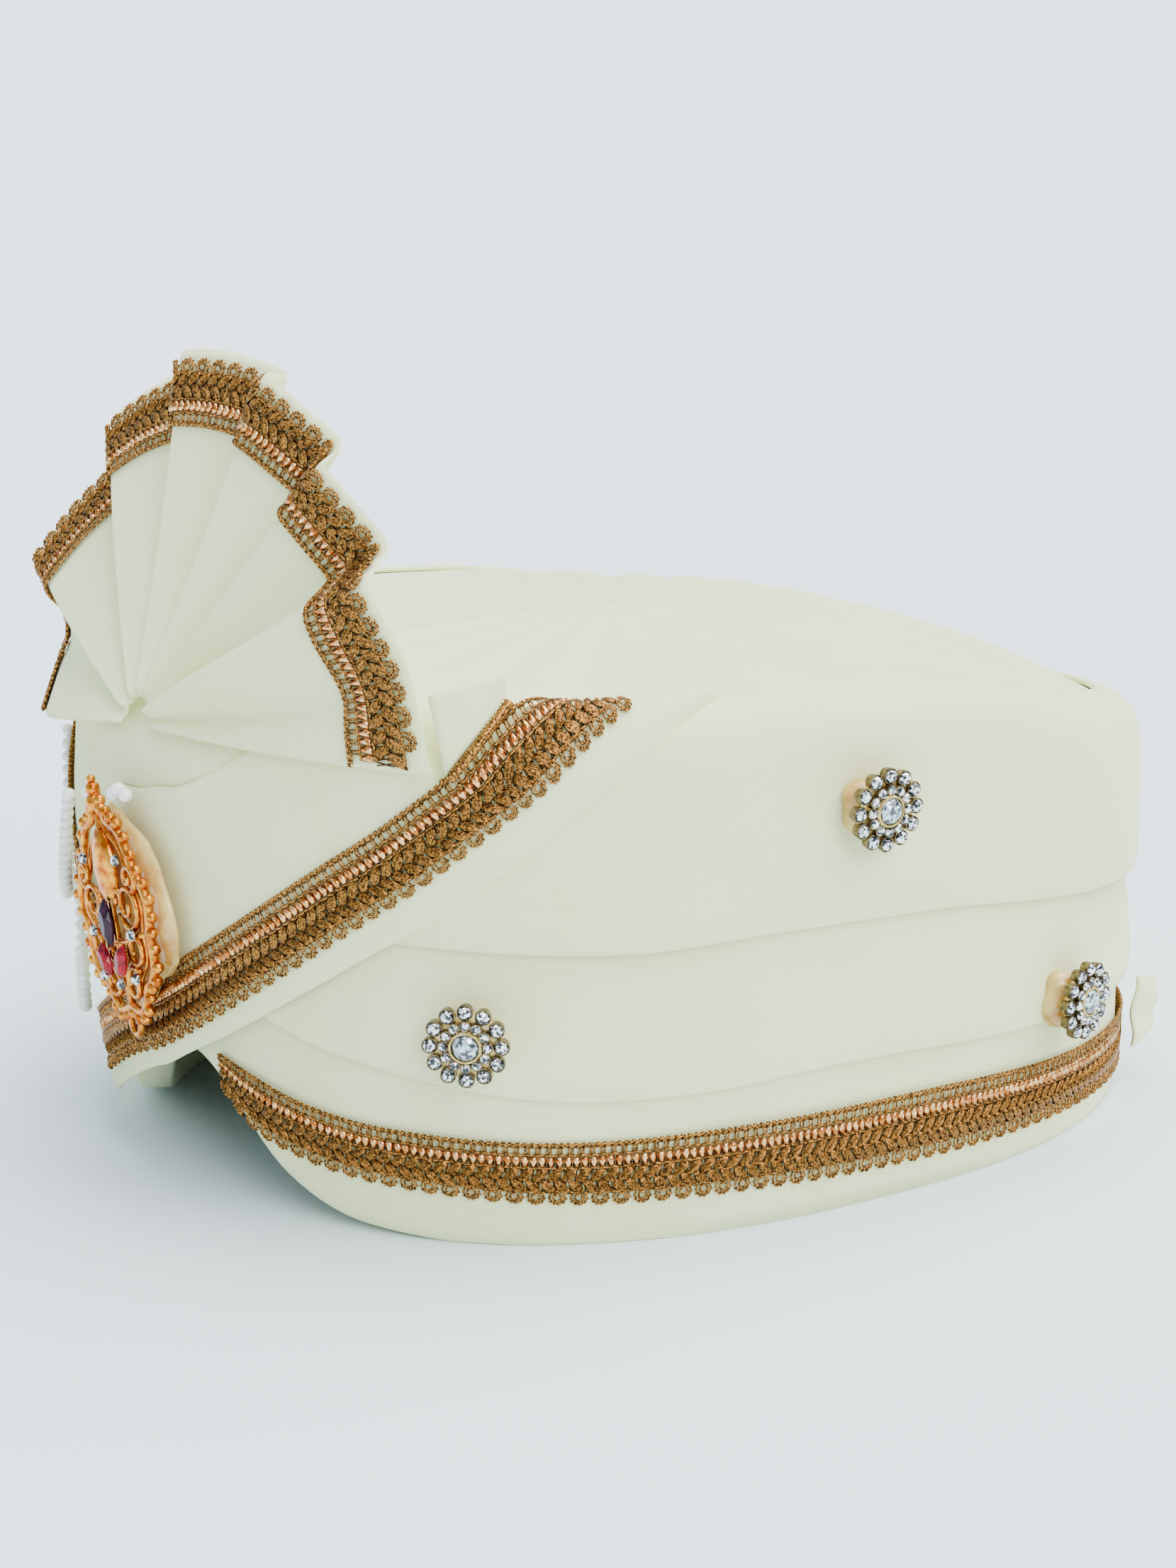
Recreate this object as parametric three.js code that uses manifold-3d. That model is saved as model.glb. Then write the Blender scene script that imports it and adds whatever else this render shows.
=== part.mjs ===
// A tied turban (pagri), sewn in its wound shape and ready to wear.
// Cloth bands lie over each other round an open, head-sized oval. Two of them cross
// low on the front under a brooch, a pleated fan stands over the brooch, woven metal
// lace follows the edges, and stone flowers sit on the sides.
//
// Places on the wall are given as (u, h, out): u is the angle in degrees from the front
// (-Y) towards the wearer's left (+X), h the height above the floor, and out the
// distance outside the lowest band. All lengths are millimetres.
import * as THREE from 'three';
import { mergeVertices } from 'three/addons/utils/BufferGeometryUtils.js';
import Module from 'manifold-3d';

const wasm = await Module();
wasm.setup();

// Head oval, measured at the rim
const FRONT_REACH = 110.5;
const BACK_REACH = 121;
const HALF_WIDTH = 95.5;
const FRONT_POWER = 2.3;
const BACK_POWER = 2.45;
// The wall leans out as it rises, more at the front
const LEAN_OUT = 0.055;
const LEAN_OUT_FRONT = 0.03;
// Radius of the rounded upper edge, and how much lower the wearer's right side is
const SHOULDER = 14;
const RIGHT_DROP = 2.5;
// Layers
const CLOTH = 2;
const GAP = 0.8;
const RIM_THICK = 9;
const UNDERLAP = 4;
const LACE_THICK = 1.4;
const LACE_GAP = 0.4;
const BAND_LACE_GAP = 0.6;
const FAN_LACE_GAP = 0.9;
// Fan of knife pleats
const FAN_X = 4;
const FAN_Y = -118.8;
const FAN_Z = 102.6;
const FAN_REACH = 78.6;
const FAN_LEAN = 17.9;
const FAN_END = 90;
const FAN_FOLD = 10;
const FAN_LEFT_BEND = 24;
const FAN_PINCH = 4;
const FAN_CLOTH = 1.6;
// Stone flowers and the brooch
const FLOWER_RING = 7.1;
const FLOWER_STAND = 6.6;
const BROOCH_X = 3;
const BROOCH_Y = -127.2;
const BROOCH_Z = 61.5;
const PEARL_RADIUS = 1.6;

const DEG = Math.PI / 180;

// Upper edge of the wall
const TOP_EDGE = [
  { u: 0, h: 113 },
  { u: 42, h: 114.3 },
  { u: 60, h: 113.5 },
  { u: 76, h: 115.8 },
  { u: 86, h: 116.2 },
  { u: 98, h: 113.4 },
  { u: 111, h: 107.5 },
  { u: 140, h: 98 },
  { u: 180, h: 92 },
];

// Lower edge of the rim band: on the floor round the sides and back, arched at the front
const RIM_EDGE = [
  { u: 0, h: 31 },
  { u: 6, h: 28.3 },
  { u: 9.5, h: 24 },
  { u: 13, h: 18 },
  { u: 17, h: 11.5 },
  { u: 22, h: 6.4 },
  { u: 28, h: 2.6 },
  { u: 34, h: 1 },
  { u: 40, h: 0 },
  { u: 180, h: 0 },
];

// Lower folds of the two wraps that lie over the rim band
const MIDDLE_FOLD = [
  { u: 10, h: 49 },
  { u: 19, h: 44.6 },
  { u: 26, h: 41 },
  { u: 34, h: 38.2 },
  { u: 44, h: 34.9 },
  { u: 57, h: 32 },
  { u: 73, h: 31.9 },
  { u: 88, h: 33.3 },
  { u: 101, h: 31.4 },
  { u: 140, h: 28.5 },
  { u: 180, h: 28 },
];
const UPPER_FOLD = [
  { u: 25, h: 67 },
  { u: 38, h: 65.4 },
  { u: 57, h: 63.6 },
  { u: 65, h: 63.2 },
  { u: 80, h: 64.5 },
  { u: 93, h: 63.6 },
  { u: 111, h: 58.7 },
  { u: 140, h: 54 },
  { u: 180, h: 52 },
];

// Lace on the rim band: lower and upper edge
const RIM_LACE = [
  { u: 9, low: 25.5, high: 33.2 },
  { u: 13, low: 19.6, high: 31.6 },
  { u: 22, low: 14.6, high: 27.8 },
  { u: 30.5, low: 12.4, high: 25.6 },
  { u: 40, low: 11.1, high: 24.4 },
  { u: 53, low: 9.5, high: 23.3 },
  { u: 81, low: 8.2, high: 23.4 },
  { u: 94, low: 6.9, high: 23 },
  { u: 115, low: 6.2, high: 20.5 },
  { u: 140, low: 5.5, high: 19.6 },
  { u: 180, low: 5.2, high: 19.5 },
];

// Crossing bands, from the front end up to the tucked end: lower edge (u0, h0), the line
// just above the lace (u1, h1), upper edge (u2, h2), where the lace begins between the
// first two, and how far the three lines lie outside the wall.
const SIDE_ROWS = [
  { u0: 15.5, h0: 41.5, u1: 17.5, h1: 65, u2: 15, h2: 98, lace: 0.22, low: 3.8, top: -1 },
  { u0: 25.9, h0: 52.8, u1: 26.5, h1: 76, u2: 21.5, h2: 105, lace: 0.26, low: 3.8, top: -2 },
  { u0: 35.5, h0: 63.4, u1: 35, h1: 87, u2: 28, h2: 112, lace: 0.3, low: 3.8, top: -2 },
  { u0: 42.4, h0: 70.3, u1: 41.5, h1: 95, u2: 34, h2: 117, lace: 0.35, low: 3.8, top: -2 },
  { u0: 50.3, h0: 80.4, u1: 48.5, h1: 103, u2: 41, h2: 118.5, lace: 0.42, low: 3.8, top: -2 },
  { u0: 57.7, h0: 91.2, u1: 55, h1: 110.5, u2: 47.5, h2: 119, lace: 0.48, low: 3.6, top: -2 },
  { u0: 64.8, h0: 101.4, u1: 61, h1: 115.5, u2: 54, h2: 119, lace: 0.56, low: 2.9, top: -2 },
  { u0: 70.3, h0: 111, u1: 66, h1: 118, u2: 60, h2: 119.5, lace: 0.6, low: 2, top: -2 },
  { u0: 75, h0: 117, u1: 71, h1: 119, u2: 66, h2: 119.8, lace: 0.6, low: 1, top: -2 },
];
const LEFT_BAND = [
  { u0: -22, h0: 5.5, u1: -13, h1: 27, u2: -4, h2: 86, lace: 0.2, low: 3.8, top: 3.8 },
  { u0: -15, h0: 10.8, u1: -8, h1: 34, u2: -2, h2: 87, lace: 0.2, low: 3.8, top: 3.8 },
  { u0: -7.4, h0: 17.5, u1: -2, h1: 42, u2: 1, h2: 88, lace: 0.2, low: 3.8, top: 3.8 },
  { u0: 0, h0: 25, u1: 4, h1: 49.5, u2: 4.5, h2: 90, lace: 0.19, low: 3.8, top: 3.4 },
  { u0: 6, h0: 31.8, u1: 9.5, h1: 55, u2: 9, h2: 92, lace: 0.18, low: 3.8, top: 2 },
  ...SIDE_ROWS,
];
const RIGHT_BAND = [
  { u0: -5, h0: 34, u1: -5, h1: 50, u2: -4, h2: 86, lace: 0.2, low: 0.8, top: -2 },
  { u0: 1, h0: 31, u1: 0, h1: 46, u2: 0, h2: 88, lace: 0.2, low: 0.8, top: -2 },
  { u0: 7, h0: 33.5, u1: 8, h1: 55, u2: 8, h2: 92, lace: 0.2, low: 0.8, top: -2 },
  { u0: 10.5, h0: 36.5, u1: 11.5, h1: 58, u2: 10.5, h2: 94, lace: 0.2, low: 1, top: -2 },
  ...SIDE_ROWS,
];
const LACE_HIGH = 0.87;

// Flowers on the wearer's left; the right side has the same three
const FLOWERS = [
  { name: 'front', u: 46.4, h: 46.9 },
  { name: 'side', u: 88.5, h: 89.6 },
  { name: 'back', u: 112.6, h: 35.7 },
];

// Pearl strings hanging from the brooch round the wearer's right
const SHORT_SWAG = [
  { u: -9, h: 82, out: 9.9 },
  { u: -16, h: 64, out: 9.9 },
  { u: -24, h: 52, out: 9.9 },
  { u: -32, h: 60, out: 9.9 },
  { u: -38, h: 84, out: 10 },
];
const LONG_SWAG = [
  { u: -10, h: 46, out: 11 },
  { u: -14, h: 36, out: 10 },
  { u: -21, h: 27, out: 9 },
  { u: -29, h: 35, out: 9 },
  { u: -36, h: 58, out: 9.9 },
  { u: -44, h: 88, out: 10 },
];

// Colours, from the cloth, metal, stones and glue
const CREAM = { color: 0xeeecdc, roughness: 0.85, metalness: 0 };
const LACE = { color: 0xa07a42, roughness: 0.5, metalness: 0.6 };
const GOLD = { color: 0xe2a75a, roughness: 0.28, metalness: 1 };
const PALE_GOLD = { color: 0xcdb98d, roughness: 0.35, metalness: 0.8 };
const AMBER = { color: 0xb98a4c, roughness: 0.3, metalness: 0 };
const PEARL = { color: 0xf0ece6, roughness: 0.3, metalness: 0 };
const VIOLET = { color: 0x3a1f3c, roughness: 0.1, metalness: 0 };
const RED = { color: 0x9c1f3a, roughness: 0.1, metalness: 0 };

const signPow = (v, p) => Math.sign(v) * Math.abs(v) ** p;
const mix = (a, b, t) => a + (b - a) * t;
const clamp01 = (t) => Math.min(1, Math.max(0, t));

// Straight-line reading of one column of a table
function read(rows, key, column, at) {
  if (at <= rows[0][key]) return rows[0][column];
  for (let i = 1; i < rows.length; i += 1) {
    const a = rows[i - 1];
    const b = rows[i];
    if (at <= b[key]) return mix(a[column], b[column], (at - a[key]) / (b[key] - a[key]));
  }
  return rows[rows.length - 1][column];
}

// Angle from the front without its side, 0 to 180
const fromFront = (u) => Math.abs(((((u + 180) % 360) + 360) % 360) - 180);
const isRight = (u) => Math.sin(u * DEG) < 0;

function topEdge(u) {
  const drop = isRight(u) ? RIGHT_DROP * Math.abs(Math.sin(u * DEG)) : 0;
  return read(TOP_EDGE, 'u', 'h', fromFront(u)) - drop;
}

// A point of the wall; above the shoulder line h runs on round the rounded edge
function wall(u, h, out) {
  const s = Math.sin(u * DEG);
  const c = Math.cos(u * DEG);
  const line = topEdge(u) - SHOULDER;
  const turn = Math.max(0, (h - line) / SHOULDER);
  const z = turn > 0 ? line + (SHOULDER + out) * Math.sin(turn) : h;
  const round = turn > 0 ? (SHOULDER + out) * Math.cos(turn) - SHOULDER : out;
  const wide = Math.min(h, line) * (LEAN_OUT + LEAN_OUT_FRONT * c) + round;
  const reach = (c >= 0 ? FRONT_REACH : BACK_REACH) + wide;
  const power = c >= 0 ? FRONT_POWER : BACK_POWER;
  return new THREE.Vector3(
    (HALF_WIDTH + wide) * signPow(s, 2 / power),
    -reach * signPow(c, 2 / power),
    z,
  );
}

// Geometry from points and triangles, turned so that its faces point out
function solid(points, index) {
  let volume = 0;
  for (let i = 0; i < index.length; i += 3) {
    const [a, b, c] = [points[index[i]], points[index[i + 1]], points[index[i + 2]]];
    volume += a.dot(b.clone().cross(c));
  }
  const faces = volume < 0 ? index.reverse() : index;
  const geometry = new THREE.BufferGeometry().setFromPoints(points);
  geometry.setIndex(faces);
  geometry.computeVertexNormals();
  return geometry;
}

// A cloth wall: an outer and an inner grid of points joined round their borders
function sheet(columns, rows, pointAt, ring = false) {
  const points = [];
  const index = [];
  const at = (side, i, j) => (side * columns + (i % columns)) * rows + j;
  const quad = (a, b, c, d) => index.push(a, b, c, a, c, d);
  for (let side = 0; side < 2; side += 1) {
    for (let i = 0; i < columns; i += 1) {
      for (let j = 0; j < rows; j += 1) points.push(pointAt(i, j, side));
    }
  }
  const last = ring ? columns : columns - 1;
  const top = rows - 1;
  for (let i = 0; i < last; i += 1) {
    for (let j = 0; j < top; j += 1) {
      quad(at(0, i, j), at(0, i + 1, j), at(0, i + 1, j + 1), at(0, i, j + 1));
      quad(at(1, i, j), at(1, i, j + 1), at(1, i + 1, j + 1), at(1, i + 1, j));
    }
    quad(at(0, i, 0), at(1, i, 0), at(1, i + 1, 0), at(0, i + 1, 0));
    quad(at(0, i, top), at(0, i + 1, top), at(1, i + 1, top), at(1, i, top));
  }
  for (let j = 0; j < top && !ring; j += 1) {
    const end = columns - 1;
    quad(at(0, 0, j), at(0, 0, j + 1), at(1, 0, j + 1), at(1, 0, j));
    quad(at(0, end, j), at(1, end, j), at(1, end, j + 1), at(0, end, j + 1));
  }
  return solid(points, index);
}

// A closed section carried round the whole oval
function ringOf(columns, count, pointAt) {
  const points = [];
  const index = [];
  for (let i = 0; i < columns; i += 1) {
    for (let k = 0; k < count; k += 1) points.push(pointAt(i, k));
  }
  const at = (i, k) => (i % columns) * count + (k % count);
  for (let i = 0; i < columns; i += 1) {
    for (let k = 0; k < count; k += 1) {
      index.push(at(i, k), at(i + 1, k), at(i + 1, k + 1));
      index.push(at(i, k), at(i + 1, k + 1), at(i, k + 1));
    }
  }
  return solid(points, index);
}

function toManifold(geometry) {
  const bare = geometry.clone();
  bare.deleteAttribute('normal');
  bare.deleteAttribute('uv');
  const merged = mergeVertices(bare, 1e-4);
  const vertProperties = new Float32Array(merged.attributes.position.array);
  const triVerts = new Uint32Array(merged.index.array);
  return new wasm.Manifold(new wasm.Mesh({ numProp: 3, vertProperties, triVerts }));
}

// Several overlapping geometries as one body
function joined(geometries) {
  let body = toManifold(geometries[0]);
  for (const geometry of geometries.slice(1)) body = body.add(toManifold(geometry));
  const mesh = body.getMesh();
  const geometry = new THREE.BufferGeometry();
  const position = new THREE.BufferAttribute(new Float32Array(mesh.vertProperties), 3);
  geometry.setAttribute('position', position);
  geometry.setIndex(new THREE.BufferAttribute(new Uint32Array(mesh.triVerts), 1));
  geometry.computeVertexNormals();
  return geometry;
}

const turban = new THREE.Group();

function piece(parent, name, geometry, look) {
  const mesh = new THREE.Mesh(geometry, new THREE.MeshStandardMaterial(look));
  mesh.name = name;
  parent.add(mesh);
  return mesh;
}

// Rim band: a padded ring with a flat underside, thinner where the wraps cover it
const RIM_COLUMNS = 60;
const RIM_SECTION = [
  { out: -1.8, up: 0, top: 0 },
  { out: -0.4, up: 1.6, top: 0 },
  { out: 0, up: 5, top: 0 },
  { out: -1, up: 0, top: 1 },
  { out: -3.4, up: 0, top: 1 },
  { out: -RIM_THICK + 1, up: 15, top: 0 },
  { out: -RIM_THICK, up: 6, top: 0 },
  { out: -RIM_THICK + 1.6, up: 0, top: 0 },
];
const rimBand = ringOf(RIM_COLUMNS, RIM_SECTION.length, (i, k) => {
  const u = (i * 360) / RIM_COLUMNS;
  const row = RIM_SECTION[k];
  const low = read(RIM_EDGE, 'u', 'h', fromFront(u));
  const high = read(MIDDLE_FOLD, 'u', 'h', fromFront(u)) + 6;
  return wall(u, mix(low, high, row.top) + row.up, row.out);
});
piece(turban, 'rim_band', rimBand, CREAM);

// Where the lower edge of a crossing band lies at height h
const bandEdgeAngle = (h) => read(LEFT_BAND, 'h0', 'u0', h);

// How far the two wraps lie outside the wall, from their fold (t = 0) to their top
const wrapOut = (t, top) => mix(GAP + CLOTH, top, clamp01(t));

// A wrap round the back, its ends tucked under the crossing bands
function wrap(columns, rowTs, low, high, ends, top, turnStart) {
  return sheet(columns, rowTs.length, (i, j, side) => {
    const t = rowTs[j];
    const start = bandEdgeAngle(mix(ends[0], ends[1], t)) - UNDERLAP;
    const u = mix(start, 360 - start, i / (columns - 1));
    const h = mix(low(u), high(u), t);
    const out = wrapOut(t / turnStart, top) - (side ? CLOTH : 0);
    return wall(u, h, out);
  });
}
const middleLow = (u) => read(MIDDLE_FOLD, 'u', 'h', fromFront(u));
const upperLow = (u) => read(UPPER_FOLD, 'u', 'h', fromFront(u));
const MIDDLE_ROWS = [0, 0.14, 0.5, 1];
const middleHigh = (u) => upperLow(u) + 7;
const middleWrap = wrap(41, MIDDLE_ROWS, middleLow, middleHigh, [46, 72], -1.2, 1);
piece(turban, 'middle_wrap', middleWrap, CREAM);
const UPPER_ROWS = [0, 0.1, 0.38, 0.68, 0.84, 1];
const upperHigh = (u) => topEdge(u) + 2;
const upperWrap = wrap(41, UPPER_ROWS, upperLow, upperHigh, [66, 116], 0, 0.68);
piece(turban, 'upper_wrap', upperWrap, CREAM);

// Crown: a low dome whose skirt tucks inside the wraps and bands
const CROWN_COLUMNS = 36;
const CROWN_OUT = -GAP - CLOTH - 0.2;
const CROWN_RISE = 8;
const CROWN_TURN = [-1, 0, 0.35, 0.75, 1.15];
const CROWN_RADII = [0.8, 0.55, 0.28];
function crownPoint(i, j, side) {
  const u = (i * 360) / CROWN_COLUMNS;
  const out = CROWN_OUT - side * CLOTH;
  const line = topEdge(u) - SHOULDER;
  const skirt = mix(80, line - 10, clamp01((fromFront(u) - 20) / 30));
  if (j === 0) return wall(u, skirt, out);
  if (j < CROWN_TURN.length) return wall(u, line + CROWN_TURN[j] * SHOULDER, out);
  const edge = wall(u, line + CROWN_TURN[CROWN_TURN.length - 1] * SHOULDER, out);
  const radius = CROWN_RADII[j - CROWN_TURN.length];
  const lift = crownTop - side * CLOTH;
  const weight = radius ** 2;
  return new THREE.Vector3(edge.x * radius, edge.y * radius, mix(lift, edge.z, weight));
}
const crownTop = topEdge(90) - 8 + CROWN_RISE;
function crownGeometry() {
  const rows = CROWN_TURN.length + CROWN_RADII.length;
  const open = sheet(CROWN_COLUMNS, rows, crownPoint, true);
  const points = [];
  const position = open.attributes.position;
  for (let i = 0; i < position.count; i += 1) {
    points.push(new THREE.Vector3().fromBufferAttribute(position, i));
  }
  // The ring of triangles that closed the inner border gives way to the two crown tops
  const isBorder = (k) => k % rows === rows - 1;
  const index = [];
  const old = Array.from(open.index.array);
  for (let t = 0; t < old.length; t += 3) {
    const face = old.slice(t, t + 3);
    if (!face.every(isBorder)) index.push(...face);
  }
  const outerTop = points.push(new THREE.Vector3(0, 0, crownTop)) - 1;
  const innerTop = points.push(new THREE.Vector3(0, 0, crownTop - CLOTH)) - 1;
  for (let i = 0; i < CROWN_COLUMNS; i += 1) {
    const next = (i + 1) % CROWN_COLUMNS;
    const inner = CROWN_COLUMNS;
    index.push(i * rows + rows - 1, next * rows + rows - 1, outerTop);
    index.push((inner + next) * rows + rows - 1, (inner + i) * rows + rows - 1, innerTop);
  }
  return solid(points, index);
}
piece(turban, 'crown', crownGeometry(), CREAM);

// A point on a crossing band: s runs along its table, t across from edge to edge
function bandPoint(rows, sideSign, s, t, extra) {
  const i = Math.min(Math.floor(s), rows.length - 2);
  const at = (column) => mix(rows[i][column], rows[i + 1][column], s - i);
  const half = t < 0.5 ? t * 2 : t * 2 - 1;
  const [u, h, out] = t < 0.5
    ? [mix(at('u0'), at('u1'), half), mix(at('h0'), at('h1'), half), at('low')]
    : [mix(at('u1'), at('u2'), half), mix(at('h1'), at('h2'), half), mix(at('low'), at('top'), half)];
  return wall(sideSign * u, h, out + extra);
}
const BAND_ROWS = [0, 0.1, 0.25, 0.5, 0.68, 0.84, 1];
function band(rows, sideSign) {
  const columns = rows.length * 2 - 1;
  return sheet(columns, BAND_ROWS.length, (i, j, side) => (
    bandPoint(rows, sideSign, i / 2, BAND_ROWS[j], side ? 0 : CLOTH)
  ));
}
piece(turban, 'left_band', band(LEFT_BAND, 1), CREAM);
piece(turban, 'right_band', band(RIGHT_BAND, -1), CREAM);

// Lace along the crossing bands
function bandLace(rows, sideSign, from, to) {
  const columns = (to - from) * 2 + 1;
  return sheet(columns, 3, (i, j, side) => {
    const s = mix(from, to, i / (columns - 1));
    const k = Math.min(Math.floor(s), rows.length - 2);
    const low = mix(rows[k].lace, rows[k + 1].lace, s - k);
    const t = mix(low, LACE_HIGH, j / 2) / 2;
    return bandPoint(rows, sideSign, s, t, CLOTH + BAND_LACE_GAP + (side ? 0 : LACE_THICK));
  });
}
piece(turban, 'left_band_lace', bandLace(LEFT_BAND, 1, 1, 11.5), LACE);
piece(turban, 'right_band_lace', bandLace(RIGHT_BAND, -1, 3.5, 10.5), LACE);

// Lace round the rim band
const RIM_LACE_COLUMNS = 58;
const rimLace = sheet(RIM_LACE_COLUMNS, 2, (i, j, side) => {
  const u = mix(9, 351, i / (RIM_LACE_COLUMNS - 1));
  const low = read(RIM_LACE, 'u', 'low', fromFront(u));
  const high = read(RIM_LACE, 'u', 'high', fromFront(u));
  return wall(u, mix(low, high, j), LACE_GAP + (side ? 0 : LACE_THICK));
});
piece(turban, 'rim_lace', rimLace, LACE);

// Fan: theta in degrees from straight up, s the share of the reach, lift towards the front
function fanPoint(theta, s, lift) {
  const side = s * FAN_REACH * Math.sin(theta * DEG);
  const up = s * FAN_REACH * Math.cos(theta * DEG);
  const forward = -Math.cos(FAN_LEAN * DEG);
  const leftBend = FAN_LEFT_BEND * clamp01((theta - 20) / 70) ** 1.9 * s ** 2.2;
  const rightBend = (6 * clamp01((-20 - theta) / 25) + 11 * clamp01((-77 - theta) / 8)) * s ** 3;
  const bend = leftBend + rightBend - FAN_PINCH * (1 - s) ** 2;
  return new THREE.Vector3(
    FAN_X + side,
    FAN_Y + bend + up * Math.sin(FAN_LEAN * DEG) + lift * s * forward,
    FAN_Z + up * Math.cos(FAN_LEAN * DEG) + lift * s * Math.sin(FAN_LEAN * DEG),
  );
}
// Fold lines: each pleat runs back from its raised left fold to the next pleat's foot
const RAISED_FOLDS = [-103, -75, -45, -15.5, 12.5, 36, 57];
const FOLDS = [];
for (let k = 0; k + 1 < RAISED_FOLDS.length; k += 1) {
  const start = RAISED_FOLDS[k];
  const next = RAISED_FOLDS[k + 1];
  FOLDS.push({ theta: start + 1.5, lift: FAN_FOLD * 0.6 });
  FOLDS.push({ theta: (start + next) / 2, lift: FAN_FOLD * 0.14 });
  FOLDS.push({ theta: next - 1.5, lift: -FAN_FOLD * 0.4 });
}
FOLDS.push({ theta: RAISED_FOLDS[RAISED_FOLDS.length - 1] + 1.5, lift: FAN_FOLD * 0.6 });
FOLDS.push({ theta: 72, lift: FAN_FOLD * 0.1 });
FOLDS.push({ theta: FAN_END, lift: 0 });

// Outward direction of the fan at a fold line, from its neighbours
function fanNormal(i, s) {
  const a = FOLDS[Math.max(0, i - 1)];
  const b = FOLDS[Math.min(FOLDS.length - 1, i + 1)];
  const across = fanPoint(b.theta, s, b.lift).sub(fanPoint(a.theta, s, a.lift));
  const along = fanPoint(FOLDS[i].theta, s + 0.05, FOLDS[i].lift)
    .sub(fanPoint(FOLDS[i].theta, s, FOLDS[i].lift));
  return across.cross(along).normalize();
}
const FAN_STEPS = [0.07, 0.3, 0.55, 0.8, 1];
const fan = sheet(FOLDS.length, FAN_STEPS.length, (i, j, side) => {
  const s = FAN_STEPS[j];
  const fold = FOLDS[i];
  const front = fanPoint(fold.theta, s, fold.lift);
  const thick = FAN_CLOTH + (j === 0 ? 1.2 : 0);
  return side ? front.addScaledVector(fanNormal(i, s), -thick) : front;
});
piece(turban, 'fan', fan, CREAM);
const fanLace = sheet(FOLDS.length, 2, (i, j, side) => {
  const s = mix(0.8, 0.955, j);
  const fold = FOLDS[i];
  const out = FAN_LACE_GAP + (side ? 0 : LACE_THICK);
  return fanPoint(fold.theta, s, fold.lift).addScaledVector(fanNormal(i, s), out);
});
piece(turban, 'fan_lace', fanLace, LACE);

// The fan's last corner is turned back to the wall, its lace on the hidden side
const fanCorner = fanPoint(FAN_END, 1, 0);
const cornerTop = fanPoint(FAN_END - 12, 1, FAN_FOLD * 0.1);
const turnedCorner = sheet(2, 2, (i, j, side) => {
  const inner = (j ? cornerTop : fanCorner).clone().add(new THREE.Vector3(0.4, 1.6, 0));
  const outer = fanCorner.clone().add(new THREE.Vector3(1, 15, j ? 19 : 14));
  const point = i ? outer : inner;
  return point.addScaledVector(new THREE.Vector3(-0.9, 0.3, 0.3), side ? FAN_CLOTH : 0);
});
piece(turban, 'fan_corner', turnedCorner, CREAM);

// A frame standing on the wall, its own +Z pointing straight out
function standOn(u, h, outAt, height) {
  const here = wall(u, h, outAt(h));
  const across = wall(u + 1, h, outAt(h)).sub(wall(u - 1, h, outAt(h)));
  const upward = wall(u, h + 2, outAt(h + 2)).sub(wall(u, h - 2, outAt(h - 2)));
  const out = across.clone().cross(upward).normalize();
  const frame = new THREE.Group();
  frame.position.copy(here).addScaledVector(out, height);
  across.normalize();
  const up = out.clone().cross(across);
  frame.quaternion.setFromRotationMatrix(new THREE.Matrix4().makeBasis(across, up, out));
  turban.add(frame);
  return frame;
}

// Cut stone: a table over eight or more facets, on a short cup
function stone(radius, height, sides) {
  const cup = new THREE.CylinderGeometry(radius * 0.62, radius, height, sides);
  cup.rotateX(90 * DEG);
  cup.translate(0, 0, height / 2);
  return cup;
}
function flowerGeometry() {
  const plate = new THREE.CylinderGeometry(8.8, 8.8, 1, 12);
  plate.rotateX(90 * DEG);
  plate.translate(0, 0, 0.5);
  const inner = new THREE.CylinderGeometry(5.1, 5.4, 1.4, 12);
  inner.rotateX(90 * DEG);
  inner.translate(0, 0, 1.5);
  const centre = stone(2.95, 2, 12);
  centre.translate(0, 0, 2);
  const parts = [plate, inner, centre];
  for (let k = 0; k < 12; k += 1) {
    const angle = (k + 0.5) * 30 * DEG;
    const petal = stone(1.4, 1.9, 8);
    petal.translate(FLOWER_RING * Math.cos(angle), FLOWER_RING * Math.sin(angle), 0.6);
    parts.push(petal);
  }
  return joined(parts);
}
const flower = flowerGeometry();
const wrapAt = (u, h) => {
  const low = h < upperLow(u) ? middleLow(u) : upperLow(u);
  const high = h < upperLow(u) ? middleHigh(u) : topEdge(u) - SHOULDER;
  return wrapOut((h - low) / (high - low), h < upperLow(u) ? -1.2 : 0);
};
for (const side of ['left', 'right']) {
  for (const row of FLOWERS) {
    const u = side === 'left' ? row.u : -row.u;
    const outAt = (h) => wrapAt(u, h);
    const stand = FLOWER_STAND - outAt(row.h);
    piece(standOn(u, row.h, outAt, stand), `${side}_${row.name}_flower`, flower.clone(), PALE_GOLD);
    const depth = stand - 0.9;
    const profile = [[0, 0], [6.2, 0], [6.9, 0.3 * depth], [5.4, depth], [0, depth]];
    const blob = new THREE.LatheGeometry(profile.map((p) => new THREE.Vector2(...p)), 12);
    blob.rotateX(90 * DEG);
    const pad = mergeVertices(blob.deleteAttribute('uv').deleteAttribute('normal'), 1e-4);
    pad.computeVertexNormals();
    piece(standOn(u, row.h, outAt, 0.55), `${side}_${row.name}_glue`, pad, AMBER);
  }
}

// Brooch: a pierced casting drawn in its own plane, x to the wearer's left and y up
const brooch = new THREE.Group();
brooch.position.set(BROOCH_X, BROOCH_Y, BROOCH_Z);
brooch.rotation.set(94 * DEG, 0, 0);
const broochTurn = new THREE.Group();
broochTurn.rotation.z = 11 * DEG;
brooch.add(broochTurn);
turban.add(brooch);

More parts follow.
